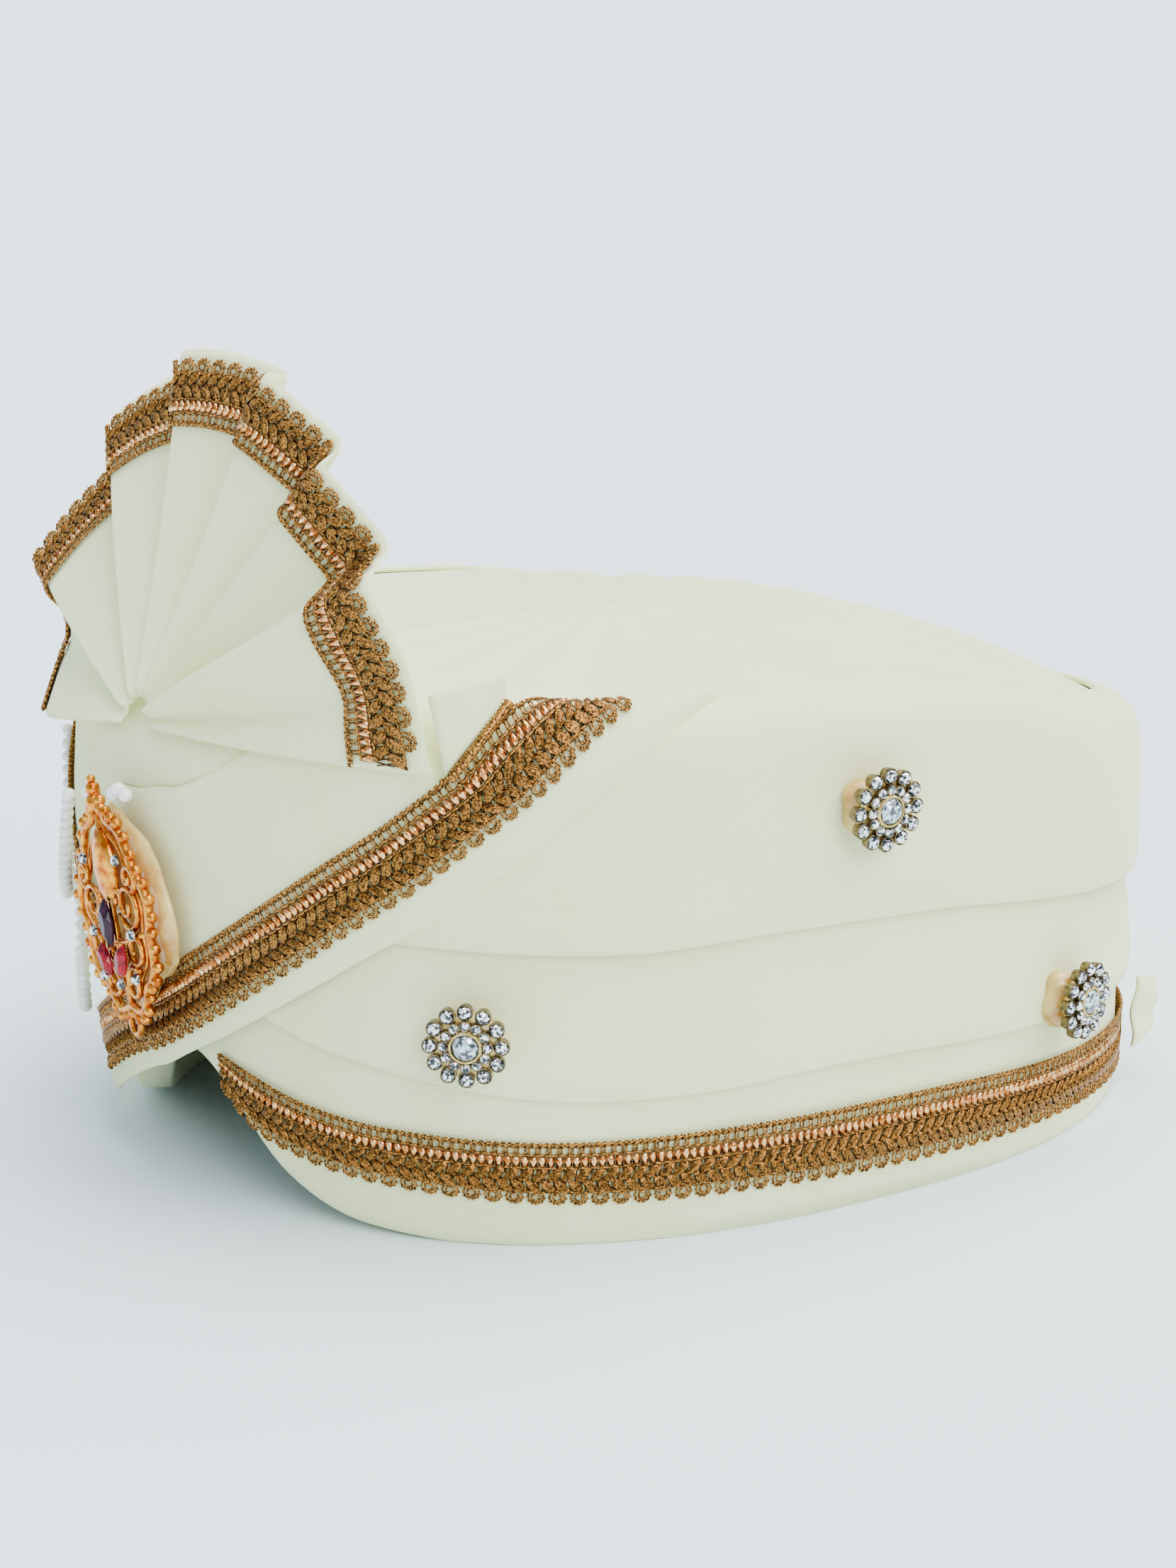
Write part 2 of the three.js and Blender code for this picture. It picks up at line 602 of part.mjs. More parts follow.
function wire(points, radius, steps, closed, sides = 6) {
  const path = new THREE.CatmullRomCurve3(points, closed);
  const shape = new THREE.Shape();
  shape.absarc(0, 0, radius, 0, Math.PI * 2);
  const options = { steps, extrudePath: path, curveSegments: sides, bevelEnabled: false };
  return new THREE.ExtrudeGeometry(shape, options);
}
function ball(x, y, z, radius) {
  const geometry = new THREE.SphereGeometry(radius, 6, 3);
  geometry.translate(x, y, z);
  return geometry;
}
function loop(x, y, radius, tube) {
  const geometry = new THREE.TorusGeometry(radius, tube, 4, 8);
  geometry.translate(x, y, 0);
  return geometry;
}
function bar(x, y, turn, length, width) {
  const geometry = new THREE.BoxGeometry(length, width, 1.4);
  geometry.rotateZ(turn * DEG);
  geometry.translate(x, y, 0);
  return geometry;
}
function plateOval(x, y, wide, tall, thick, turn = 0) {
  const geometry = new THREE.SphereGeometry(1, 8, 4);
  geometry.rotateX(90 * DEG);
  geometry.scale(wide, tall, thick);
  geometry.rotateZ(turn * DEG);
  geometry.translate(x, y, 0.4);
  return geometry;
}
// Pierced leaf outline, pointed at the top
function leafShape(wide, tall) {
  const shape = new THREE.Shape();
  for (let k = 0; k < 18; k += 1) {
    const across = -Math.sin(k * 20 * DEG);
    const up = Math.cos(k * 20 * DEG);
    const narrow = 1 - 0.34 * Math.max(0, up) ** 2;
    const x = wide * across * narrow;
    const y = tall * up + 0.1 * tall * Math.max(0, up) ** 6;
    if (k) shape.lineTo(x, y);
    else shape.moveTo(x, y);
  }
  return shape;
}
const rimShape = leafShape(20, 24.5);
rimShape.holes.push(leafShape(16.8, 21));
const castings = [new THREE.ExtrudeGeometry(rimShape, { depth: 1.8, bevelEnabled: false })];
castings[0].translate(0, 0, -0.9);
castings.push(plateOval(0, 10.5, 6.2, 10.5, 2.4));
castings.push(plateOval(0, -3.5, 5, 7.5, 1.8));
castings.push(plateOval(-5.8, -11, 4, 6, 1.6, 24));
castings.push(plateOval(5.8, -11, 4, 6, 1.6, -24));
// Nubs round the outline
for (let k = 0; k < 10; k += 1) {
  const angle = (k * 36 + 18) * DEG;
  const narrow = 1 - 0.34 * Math.max(0, Math.cos(angle)) ** 2;
  castings.push(ball(19.6 * Math.sin(angle) * narrow, 24.2 * Math.cos(angle), 0.2, 2.1));
}
// Scrolls between the middle leaves and the outline
const SCROLLS = [
  { x: 11, y: 1.6, r: 5 },
  { x: 6.5, y: -17, r: 3.6 },
];
for (const row of SCROLLS) {
  castings.push(loop(row.x, row.y, row.r, 1));
  castings.push(loop(-row.x, row.y, row.r, 1));
}
castings.push(bar(0, -8.6, 0, 37, 1.6), bar(0, -1, 90, 45, 1.6));
castings.push(ball(0, 28.4, 0, 2.6), ball(0, 31.6, 0, 1.6), loop(0, -26.6, 2.7, 0.9));
const CLEAR_STONES = [
  { x: 9.4, y: 13.4 },
];
for (const row of CLEAR_STONES) {
  for (const side of [-1, 1]) {
    const gem = stone(2.1, 2.6, 8);
    gem.translate(side * row.x, row.y, -0.2);
    castings.push(gem, bar(side * row.x * 0.9, row.y - 0.2, 0, 12.4, 1.5));
  }
}
piece(broochTurn, 'brooch', joined(castings), GOLD);

// Coloured stones: pointed ovals with a table, set just above the casting
function navette(x, y, wide, tall, turn, raise) {
  const gem = stone(1, 1.6, 10);
  gem.scale(wide, tall, 1);
  gem.rotateZ(turn * DEG);
  gem.translate(x, y, raise);
  return gem;
}
piece(broochTurn, 'brooch_violet_stone', navette(0, -3, 2.6, 5.4, 0, 2.55), VIOLET);
piece(broochTurn, 'brooch_red_stone_left', navette(5.8, -11, 2.1, 4.2, -24, 2.35), RED);
piece(broochTurn, 'brooch_red_stone_right', navette(-5.8, -11, 2.1, 4.2, 24, 2.35), RED);

// Glue between the brooch and the crossed bands
const glueBody = new THREE.CylinderGeometry(11, 12.5, 2.6, 16);
glueBody.rotateX(90 * DEG);
glueBody.scale(1, 1.2, 1);
const glue = piece(brooch, 'brooch_glue', glueBody, AMBER);
glue.position.set(-1.5, 4, -3.6);

// Pearl strings
function swag(rows) {
  const points = rows.map((row) => wall(row.u, row.h, row.out));
  return wire(points, PEARL_RADIUS, 18, false, 4);
}
piece(turban, 'short_pearl_string', swag(SHORT_SWAG), PEARL);
piece(turban, 'long_pearl_string', swag(LONG_SWAG), PEARL);

// Loose cloth end pulled through at the back
const tail = sheet(4, 3, (i, j, side) => {
  const u = 140 + i * 2.6;
  const out = 2.4 + i * 1.7 + (side ? 0 : CLOTH);
  return wall(u, mix(9 + i, 27 - i * 1.2, j / 2), out);
});
piece(turban, 'cloth_tail', tail, CREAM);

// The finished turban stands on its rim with its box centred on the origin
const box = new THREE.Box3().setFromObject(turban, true);
const shift = new THREE.Vector3(-(box.min.x + box.max.x) / 2, -(box.min.y + box.max.y) / 2, -box.min.z);
turban.position.copy(shift);

export default turban;
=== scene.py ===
# %% [markdown]
# # A tied turban, dressed in cloth, lace, stones and pearls
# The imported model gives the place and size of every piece. This lesson builds the look of each
# one around it: cloth bands with rounded folds, woven metal lace, a pleated fan, cut stones, a
# cast brooch and strings of pearls. Sizes are in millimetres until a mesh is made, and the frame
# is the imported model's own: front is -Y, the wearer's left is +X, and the rim stands on z = 0.

# %% Load the frame
import math

import bmesh
import bpy
import numpy as np
from mathutils import Matrix, Vector


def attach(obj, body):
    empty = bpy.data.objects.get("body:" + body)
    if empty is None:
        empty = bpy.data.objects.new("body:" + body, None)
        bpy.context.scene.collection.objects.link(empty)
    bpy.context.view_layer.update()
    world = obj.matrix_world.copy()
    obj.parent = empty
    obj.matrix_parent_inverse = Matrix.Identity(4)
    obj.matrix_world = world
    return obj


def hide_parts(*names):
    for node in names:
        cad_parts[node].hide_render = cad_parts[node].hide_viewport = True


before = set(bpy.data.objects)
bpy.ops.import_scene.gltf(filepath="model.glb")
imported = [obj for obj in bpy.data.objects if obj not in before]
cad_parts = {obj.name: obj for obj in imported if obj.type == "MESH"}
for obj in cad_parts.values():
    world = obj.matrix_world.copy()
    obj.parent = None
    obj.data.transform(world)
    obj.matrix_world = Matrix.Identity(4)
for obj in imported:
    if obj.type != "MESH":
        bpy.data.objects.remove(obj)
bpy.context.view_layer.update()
MM = 0.001

# %% [markdown]
# ## Small helpers
# A colour is written as the hex value seen on a screen and turned to linear light once. One
# function adds a node to any tree, sets what it is told and links what it is given. One function
# turns points in millimetres into a mesh in metres, with its place in its vertices.

# %% Colour, nodes and meshes
def linear(hex_value):
    parts = [int(hex_value[i:i + 2], 16) / 255 for i in (0, 2, 4)]
    return (*[c / 12.92 if c <= 0.04045 else ((c + 0.055) / 1.055) ** 2.4 for c in parts], 1)


def add(tree, kind, inputs=None, **settings):
    node = tree.nodes.new(kind)
    for key, value in settings.items():
        setattr(node, key, value)
    for key, value in (inputs or {}).items():
        if isinstance(value, bpy.types.NodeSocket):
            tree.links.new(value, node.inputs[key])
        else:
            node.inputs[key].default_value = value
    return node


ROW_SHIFT = np.array([0, 3.13, 0])  # the source centres the object's box, which moves the oval back


def mesh_of(name, points, faces, material, smooth=True, corner_uv=None, placed=True):
    mesh = bpy.data.meshes.new(name)
    metres = (np.asarray(points, float) + (ROW_SHIFT if placed else 0)) * MM
    mesh.from_pydata(metres.tolist(), [], [list(map(int, f)) for f in faces])
    if corner_uv is not None:
        layer = mesh.uv_layers.new(name="cloth")
        layer.data.foreach_set("uv", (np.asarray(corner_uv, float) * MM).ravel())
    mesh.polygons.foreach_set("use_smooth", [smooth] * len(mesh.polygons))
    mesh.materials.append(material)
    mesh.update()
    return mesh


def object_of(data):
    made = bpy.data.objects.new(data.name, data)
    bpy.context.scene.collection.objects.link(made)
    return made


def solid(name, part, material, **how):
    """An object from points and faces, with the faces turned out."""
    mesh = mesh_of(name, *part, material, **how)
    work = bmesh.new()
    work.from_mesh(mesh)
    bmesh.ops.recalc_face_normals(work, faces=work.faces)
    work.to_mesh(mesh)
    work.free()
    return object_of(mesh)


def points_of(mesh):
    """The places of a mesh's vertices, in millimetres."""
    flat = np.empty(len(mesh.vertices) * 3)
    mesh.vertices.foreach_get("co", flat)
    return flat.reshape(-1, 3) / MM


def put_points(mesh, points):
    mesh.vertices.foreach_set("co", ((points + ROW_SHIFT) * MM).ravel())
    mesh.update()


def dress(piece, slot, *nodes):
    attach(piece, "root")
    if nodes:
        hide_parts(*nodes)
    print(piece.name, len(piece.data.polygons), "faces")
    return piece


# %% [markdown]
# ## The wall that everything lies on
# The turban is an oval wall, rounder at the brow than a circle and squarer at the back. A place on
# it is an angle from the front, a height and a distance outside the lowest band. Above the
# shoulder line the height runs on round a 14 mm rounded edge. The tables repeat the few sizes
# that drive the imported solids, so that each cloth lies where its solid is.

# %% Wall sizes and tables
FRONT_REACH, BACK_REACH, HALF_WIDTH = 110.5, 121.0, 95.5
FRONT_POWER, BACK_POWER = 2.3, 2.45
LEAN_OUT, LEAN_OUT_FRONT = 0.055, 0.03
SHOULDER, RIGHT_DROP = 14.0, 2.5
CLOTH, GAP = 2.0, 0.8
# angle from the front, height
TOP_EDGE = [(0, 113), (42, 114.3), (60, 113.5), (76, 115.8), (86, 116.2), (98, 113.4),
            (111, 107.5), (140, 98), (180, 92)]
RIM_EDGE = [(0, 31), (6, 28.3), (9.5, 24), (13, 18), (17, 11.5), (22, 6.4), (28, 2.6), (34, 1),
            (40, 0), (180, 0)]
MIDDLE_FOLD = [(10, 49), (19, 44.6), (26, 41), (34, 38.2), (44, 34.9), (57, 32), (73, 31.9),
               (88, 33.3), (101, 31.4), (140, 28.5), (180, 28)]
UPPER_FOLD = [(25, 67), (38, 65.4), (57, 63.6), (65, 63.2), (80, 64.5), (93, 63.6), (111, 58.7),
              (140, 54), (180, 52)]
# angle from the front, lower edge, upper edge
RIM_LACE = [(9, 25.5, 33.2), (13, 19.6, 31.6), (22, 14.6, 27.8), (30.5, 12.4, 25.6),
            (40, 11.1, 24.4), (53, 9.5, 23.3), (81, 8.2, 23.4), (94, 6.9, 23), (115, 6.2, 20.5),
            (140, 5.5, 19.6), (180, 5.2, 19.5)]


def mix(a, b, t):
    return a + (b - a) * t


def ramp(x, start, end):
    """Share of the way from start to end, held between 0 and 1."""
    return np.clip((x - start) / (end - start), 0, 1)


def read(rows, column, at):
    """A smooth reading of one column of a table by its first column."""
    x = np.array([r[0] for r in rows], float)
    y = np.array([r[column] for r in rows], float)
    slope = np.gradient(y, x)
    at = np.clip(np.asarray(at, float), x[0], x[-1])
    i = np.clip(np.searchsorted(x, at) - 1, 0, len(x) - 2)
    step = x[i + 1] - x[i]
    t = (at - x[i]) / step
    rise = y[i + 1] - y[i]
    bend = slope[i] * step - rise, slope[i + 1] * step - rise
    return y[i] + rise * t + t * (1 - t) * ((1 - t) * bend[0] - t * bend[1])


def from_front(u):
    return np.abs((np.asarray(u, float) + 180) % 360 - 180)


def top_edge(u):
    s = np.sin(np.radians(u))
    return read(TOP_EDGE, 1, from_front(u)) - np.where(s < 0, RIGHT_DROP * -s, 0)


def wall(u, h, out):
    u, h, out = np.broadcast_arrays(*[np.asarray(a, float) for a in (u, h, out)])
    s, c = np.sin(np.radians(u)), np.cos(np.radians(u))
    line = top_edge(u) - SHOULDER
    turn = np.maximum(0, (h - line) / SHOULDER)
    z = np.where(turn > 0, line + (SHOULDER + out) * np.sin(turn), h)
    rounded = np.where(turn > 0, (SHOULDER + out) * np.cos(turn) - SHOULDER, out)
    wide = np.minimum(h, line) * (LEAN_OUT + LEAN_OUT_FRONT * c) + rounded
    power = 2 / np.where(c >= 0, FRONT_POWER, BACK_POWER)
    x = (HALF_WIDTH + wide) * np.sign(s) * np.abs(s) ** power
    y = -(np.where(c >= 0, FRONT_REACH, BACK_REACH) + wide) * np.sign(c) * np.abs(c) ** power
    return np.stack([x, y, z], -1)


def ends_dense(count):
    """Shares from 0 to 1, close together at both ends, where a fold is rounded."""
    return (1 - np.cos(np.pi * np.arange(count) / (count - 1))) / 2


print("wall at the left:", np.round(wall(90, 0, 0), 1), "at the brow:", np.round(wall(0, 60, 0), 1))

# %% [markdown]
# ## Finishes
# The cloth is a fine cotton voile in plain weave: matt, a little fuzzy, cream with a yellow-green
# cast where it lies in folds. Its threads are about 0.55 mm apart, which is too fine for the
# picture, so they are drawn at 0.8 mm. The lace is spun metal thread, dull antique gold, round a
# bright strip of folded copper foil. The brooch is cast and gilt, the flowers are pale gilt cups
# with foil-backed stones, and the glue is set amber. The near-black and white patches of the
# clear and blue-grey stones are painted sparkle.

# %% Cloth, metal, stone, pearl and glue
WEAVE_MM = 0.8
WAVE_UNIT = 0.31416  # a Wave texture of scale 1 repeats after this length


def finish(name, **sockets):
    made = bpy.data.materials.new(name)
    made.use_nodes = True
    shader = made.node_tree.nodes["Principled BSDF"]
    for key, value in sockets.items():
        shader.inputs[key.replace("_", " ")].default_value = value
    return made, made.node_tree, shader


def add_bump(tree, shader, height, depth_mm):
    bump = add(tree, "ShaderNodeBump", {"Height": height, "Strength": 0.4, "Distance": depth_mm * MM})
    tree.links.new(bump.outputs[0], shader.inputs["Normal"])


def cotton(name, light, shade):
    """Plain weave that follows the UV map, over a cloudy change of tone."""
    made, tree, shader = finish(name, Roughness=0.86, Sheen_Weight=0.25, Sheen_Roughness=0.5,
                                Specular_IOR_Level=0.25)
    where = add(tree, "ShaderNodeTexCoord")
    threads = {"Vector": where.outputs["UV"], "Scale": WAVE_UNIT / (WEAVE_MM * MM),
               "Distortion": 0.6, "Detail": 1.0}
    warp = add(tree, "ShaderNodeTexWave", threads, bands_direction="X")
    weft = add(tree, "ShaderNodeTexWave", threads, bands_direction="Y")
    weave = add(tree, "ShaderNodeMath", {0: warp.outputs["Fac"], 1: weft.outputs["Fac"]},
                operation="MULTIPLY")
    cloud = add(tree, "ShaderNodeTexNoise", {"Vector": where.outputs["Object"], "Scale": 38.0,
                                             "Detail": 4.0})
    tint = add(tree, "ShaderNodeMix", {"Factor": cloud.outputs["Fac"], "A": linear(light),
                                       "B": linear(shade)}, data_type="RGBA")
    shading = add(tree, "ShaderNodeMapRange", {"Value": weave.outputs[0], "From Max": 0.6,
                                               "To Min": 0.86, "To Max": 1.0})
    colour = add(tree, "ShaderNodeMix", {"Factor": 1.0, "A": tint.outputs["Result"],
                                         "B": shading.outputs[0]},
                 data_type="RGBA", blend_type="MULTIPLY")
    tree.links.new(colour.outputs["Result"], shader.inputs["Base Color"])
    add_bump(tree, shader, weave.outputs[0], 0.15)
    return made


def mottled(name, dark, bright, grain_mm, bump_mm, spread=(0.32, 0.68), **sockets):
    """A finish whose colour wanders between two tones over grains of a given size."""
    made, tree, shader = finish(name, **sockets)
    where = add(tree, "ShaderNodeTexCoord")
    grain = add(tree, "ShaderNodeTexNoise", {"Vector": where.outputs["Object"],
                                             "Scale": 1 / (grain_mm * MM), "Detail": 3.0})
    tones = add(tree, "ShaderNodeValToRGB", {"Fac": grain.outputs["Fac"]})
    for stop, place, tone in zip(tones.color_ramp.elements, spread, (dark, bright)):
        stop.position = place
        stop.color = linear(tone)
    tree.links.new(tones.outputs["Color"], shader.inputs["Base Color"])
    add_bump(tree, shader, grain.outputs["Fac"], bump_mm)
    return made


CREAM = cotton("cream cotton voile", "f2f5c6", "e9ecaa")
THREAD = mottled("spun antique gold thread", "3f2407", "cb8c40", 0.42, 0.14, (0.4, 0.62),
                       Metallic=0.85, Roughness=0.3)
# a darker copy of the gold thread for the ground threads under the leaves: painted shade
SHADED_THREAD = mottled("shaded gold thread", "2e1a06", "7d5520", 0.5, 0.1, Metallic=0.7,
                        Roughness=0.45)
FOIL = mottled("folded copper foil", "b8682a", "ffc98a", 1.2, 0.08, (0.4, 0.6), Metallic=1.0,
                     Roughness=0.2)
CAST = mottled("gilt casting", "b4560f", "f0a238", 1.9, 0.16, (0.38, 0.62), Metallic=1.0,
                     Roughness=0.24)
GILT = mottled("pale gilt cups", "9c7b36", "d9bf80", 2.0, 0.05, Metallic=0.9, Roughness=0.3)
# the cups round the stones are darker than the gilt plate
DARK_RIM = mottled("blackened stone cups", "3a3020", "94805a", 1.0, 0.05,
                         Metallic=0.9, Roughness=0.35)
# foil-backed, so mirror-like; its near-black and white patches are painted sparkle
STONE = mottled("foil-backed clear crystal", "24272c", "ffffff", 0.8, 0.03, (0.45, 0.55),
                      Metallic=0.75, Roughness=0.08, Coat_Weight=0.8, Coat_Roughness=0.03)
# foil-backed, so mirror-like; its dark and pale patches are painted sparkle
BLUE_STONE = mottled("foil-backed blue-grey crystal", "2f3a44", "d5e3ea", 1.1, 0.03,
                           (0.42, 0.58), Metallic=0.55, Roughness=0.08, Coat_Weight=0.9,
                           Coat_Roughness=0.03)
VIOLET = mottled("violet glass stone", "12040f", "3a1530", 2.0, 0.02, Roughness=0.12,
                       Specular_IOR_Level=0.3)
RED = mottled("red glass stone", "4d0410", "b0102c", 2.0, 0.02, Roughness=0.12,
                    Specular_IOR_Level=0.3)
PEARL = mottled("pearl-coated bead", "e6e2d8", "fbf9f4", 1.6, 0.01, Roughness=0.22,
                      Coat_Weight=0.6, Coat_Roughness=0.1)
GLUE = mottled("set amber glue", "b87c2e", "e6bb70", 5.0, 0.3, Roughness=0.22,
                     Subsurface_Weight=0.3, Coat_Weight=0.4)
print(len(bpy.data.materials), "materials")

# %% [markdown]
# ## Cloth walls
# A band of cloth is a grid of points on its outer face. The inner face lies a thickness behind it,
# and both come together at the borders in a half circle, so a fold looks rolled and not cut. The
# UV map holds millimetres along and across the band, so the weave follows the cloth.

# %% A cloth wall from a grid of points
def grid_normals(grid, ring, facing):
    along = (np.roll(grid, -1, 0) - np.roll(grid, 1, 0)) if ring else np.gradient(grid, axis=0)
    normal = np.cross(along, np.gradient(grid, axis=1))
    normal /= np.linalg.norm(normal, axis=-1, keepdims=True) + 1e-12
    return normal * (1 if (normal * facing).sum() > 0 else -1)


def border_distance(grid, axis):
    steps = np.linalg.norm(np.diff(grid, axis=axis), axis=-1)
    zero = np.zeros_like(np.take(steps, [0], axis=axis))
    run = np.concatenate([zero, np.cumsum(steps, axis=axis)], axis=axis)
    return run, np.minimum(run, np.take(run, [-1], axis=axis) - run)


EDGE_CLOSE = 0.96  # the two faces stay a little apart at a border


def cloth_wall(name, grid, facing, thick=CLOTH, ring=False, closed_top=False):
    n, m = grid.shape[:2]
    normal = grid_normals(grid, ring, facing)
    across, edge = border_distance(grid, 1)
    if closed_top:
        edge = across
    along, end = border_distance(np.concatenate([grid, grid[:1]]) if ring else grid, 0)
    if not ring:
        edge = np.minimum(edge, end)
    radius = thick / 2
    near = np.clip(1 - edge / radius, 0, 1)
    drop = EDGE_CLOSE * radius * (1 - np.sqrt(1 - near ** 2))
    faces_of = [grid - normal * drop[..., None], grid - normal * (thick - drop)[..., None]]
    points = np.concatenate([f.reshape(-1, 3) for f in faces_of])
    uv = np.stack([along, across[np.arange(len(along)) % n]], -1)
    faces, corners = [], []

    def quad(*places):
        faces.append([side * n * m + (i % n) * m + j for side, i, j in places])
        corners.extend(uv[i, j] for side, i, j in places)

    for i in range(n if ring else n - 1):
        for j in range(m - 1):
            quad((0, i, j), (0, i + 1, j), (0, i + 1, j + 1), (0, i, j + 1))
            quad((1, i, j), (1, i, j + 1), (1, i + 1, j + 1), (1, i + 1, j))
        quad((0, i, 0), (1, i, 0), (1, i + 1, 0), (0, i + 1, 0))
        quad((0, i, m - 1), (0, i + 1, m - 1), (1, i + 1, m - 1), (1, i, m - 1))
    for j in range(0 if ring else m - 1):
        quad((0, 0, j), (0, 0, j + 1), (1, 0, j + 1), (1, 0, j))
        quad((0, n - 1, j), (1, n - 1, j), (1, n - 1, j + 1), (0, n - 1, j + 1))
    return solid(name, (points, faces), CREAM, corner_uv=corners)


def radial(grid):
    return grid * np.array([1, 1, 0])


# angle step, height step, size and phase of the slow waves that hand-laid cloth has
WAVES = [(0.11, 0.05, 0.35, 0.4), (-0.06, 0.09, 0.3, 2.1), (0.19, -0.08, 0.18, 4.0),
         (0.31, 0.16, 0.1, 1.2)]


def hand_laid(u, h):
    return sum(size * np.sin(a * u + b * h + phase) for a, b, size, phase in WAVES)


# %% [markdown]
# ## Rim band and wraps
# The rim is cloth rolled round a soft stiffening, so it is made as a padded ring with a flat foot.
# Two wraps lie over it like shingles: each has a folded lower edge that stands a little proud and
# a top that slides under the next one.

# %% Rim band
rim_u = np.arange(0, 360, 1.5)
RIM_TUCK = 6.0  # how far the rim's cloth runs up under the middle wrap
RIM_FACE_ROW = 3  # the row of the section that the length of the weave is measured on
# distance outside the wall, height above the foot, share of the way to the top
RIM_SECTION = [(-1.8, 0, 0), (-0.9, 0.45, 0), (-0.3, 1.5, 0), (0, 3.2, 0), (0, 6, 0.06), (0, 3, 0.3),
               (-0.3, 0, 0.6), (-0.6, 0, 0.85), (-1, 0, 1), (-2.2, 0.6, 1), (-3.4, 0, 1),
               (-6.4, 0, 0.7), (-8, 6, 0.2), (-9, 6, 0), (-8.6, 2.2, 0), (-7.4, 0, 0)]


def rim_point(u, row):
    out, up, share = row
    low = read(RIM_EDGE, 1, from_front(u))
    high = read(MIDDLE_FOLD, 1, from_front(u)) + RIM_TUCK
    h = np.maximum(mix(low, high, share) + up, 0)
    soft = 0.5 * hand_laid(u, h) * (share > 0) * (out > -2)
    return wall(u, h, out + np.minimum(soft, 0.25))


rim_grid = np.stack([rim_point(rim_u, row) for row in RIM_SECTION], 1)
n, m = rim_grid.shape[:2]
rim_faces, rim_uv = [], []
rim_along = border_distance(np.concatenate([rim_grid, rim_grid[:1]]), 0)[0][:, RIM_FACE_ROW]
rim_across = border_distance(np.concatenate([rim_grid, rim_grid[:, :1]], 1), 1)[0]
for i in range(n):
    for k in range(m):
        corners = (i, k), (i + 1, k), (i + 1, k + 1), (i, k + 1)
        rim_faces.append([(a % n) * m + b % m for a, b in corners])
        rim_uv += [(rim_along[a], rim_across[a % n, b]) for a, b in corners]
rim = solid("rim_band_cloth", (rim_grid.reshape(-1, 3), rim_faces), CREAM, corner_uv=rim_uv)
dress(rim, "cream_cloth", "rim_band")

# %% Crossing-band tables
# lower edge (u0, h0), line above the lace (u1, h1), upper edge (u2, h2), start of the lace,
# distance outside the wall of the lower lines and of the upper edge
SIDE_ROWS = [
    (15.5, 41.5, 17.5, 65, 15, 98, 0.22, 3.8, -1), (25.9, 52.8, 26.5, 76, 21.5, 105, 0.26, 3.8, -2),
    (35.5, 63.4, 35, 87, 28, 112, 0.3, 3.8, -2), (42.4, 70.3, 41.5, 95, 34, 117, 0.35, 3.8, -2),
    (50.3, 80.4, 48.5, 103, 41, 118.5, 0.42, 3.8, -2),
    (57.7, 91.2, 55, 110.5, 47.5, 119, 0.48, 3.6, -2),
    (64.8, 101.4, 61, 115.5, 54, 119, 0.56, 2.9, -2),
    (70.3, 111, 66, 118, 60, 119.5, 0.6, 2, -2), (75, 117, 71, 119, 66, 119.8, 0.6, 1, -2)]
LEFT_ROWS = [
    (-22, 5.5, -13, 27, -4, 86, 0.2, 3.8, 3.8), (-15, 10.8, -8, 34, -2, 87, 0.2, 3.8, 3.8),
    (-7.4, 17.5, -2, 42, 1, 88, 0.2, 3.8, 3.8), (0, 25, 4, 49.5, 4.5, 90, 0.19, 3.8, 3.4),
    (6, 31.8, 9.5, 55, 9, 92, 0.18, 3.8, 2)] + SIDE_ROWS
RIGHT_ROWS = [
    (-5, 34, -5, 50, -4, 86, 0.2, 0.8, -2), (1, 31, 0, 46, 0, 88, 0.2, 0.8, -2),
    (7, 33.5, 8, 55, 8, 92, 0.2, 0.8, -2), (10.5, 36.5, 11.5, 58, 10.5, 94, 0.2, 1, -2)] + SIDE_ROWS
LEFT_BAND = [(k, *row) for k, row in enumerate(LEFT_ROWS)]
RIGHT_BAND = [(k, *row) for k, row in enumerate(RIGHT_ROWS)]

# %% Middle and upper wraps
UNDERLAP = 4.0
FOLD_SHARE, FOLD_DROP = 0.2, 1.1  # the part of a wrap that lies down at its fold, and how far
SLIDE_SHARE, SLIDE_DROP = 0.82, 1.6  # where a wrap starts to slide under the next, and how far
WRAP_CLOTH = 1.3  # a fold of two thin layers
EDGE_ROWS = [(row[1], row[0]) for row in LEFT_ROWS]  # height and angle of the band's lower edge
wrap_t = ends_dense(34)


def wrap_grid(low, high, ends, top, turn_start, columns=240):
    start = read(EDGE_ROWS, 1, mix(ends[0], ends[1], wrap_t)) - UNDERLAP
    share = np.linspace(0, 1, columns)[:, None]
    u = mix(start[None, :], 360 - start[None, :], share)
    h = mix(low(u), high(u), wrap_t[None, :])
    out = mix(GAP + CLOTH, top, ramp(wrap_t, 0, turn_start))
    # the fold lies down on the cloth below it, and the top slides under the cloth above
    out = out - FOLD_DROP * ramp(wrap_t, FOLD_SHARE, 0) ** 2 - SLIDE_DROP * ramp(wrap_t, SLIDE_SHARE, 1)
    fade = ramp(wrap_t, 0, 1 / 6) * ramp(wrap_t, 1, 0.8)
    return wall(u, h, out[None, :] + np.minimum(hand_laid(u, h), 0.5) * fade)


def middle_low(u):
    return read(MIDDLE_FOLD, 1, from_front(u))


def upper_low(u):
    return read(UPPER_FOLD, 1, from_front(u))


middle_grid = wrap_grid(middle_low, lambda u: upper_low(u) + 7, (46, 72), -1.2, 1)
upper_grid = wrap_grid(upper_low, lambda u: top_edge(u) + 3, (66, 116), 0, 0.68)
for name, grid, width in (("middle_wrap", middle_grid, 38), ("upper_wrap", upper_grid, 54)):
    wrap = cloth_wall(name + "_cloth", grid, radial(grid), thick=WRAP_CLOTH)
    dress(wrap, "cream_cloth", name)

# %% [markdown]
# ## Crown
# The crown is one loose square of cloth that closes the top. It is a low dome whose skirt hangs
# inside the wraps, with soft gathers running in from the shoulder.

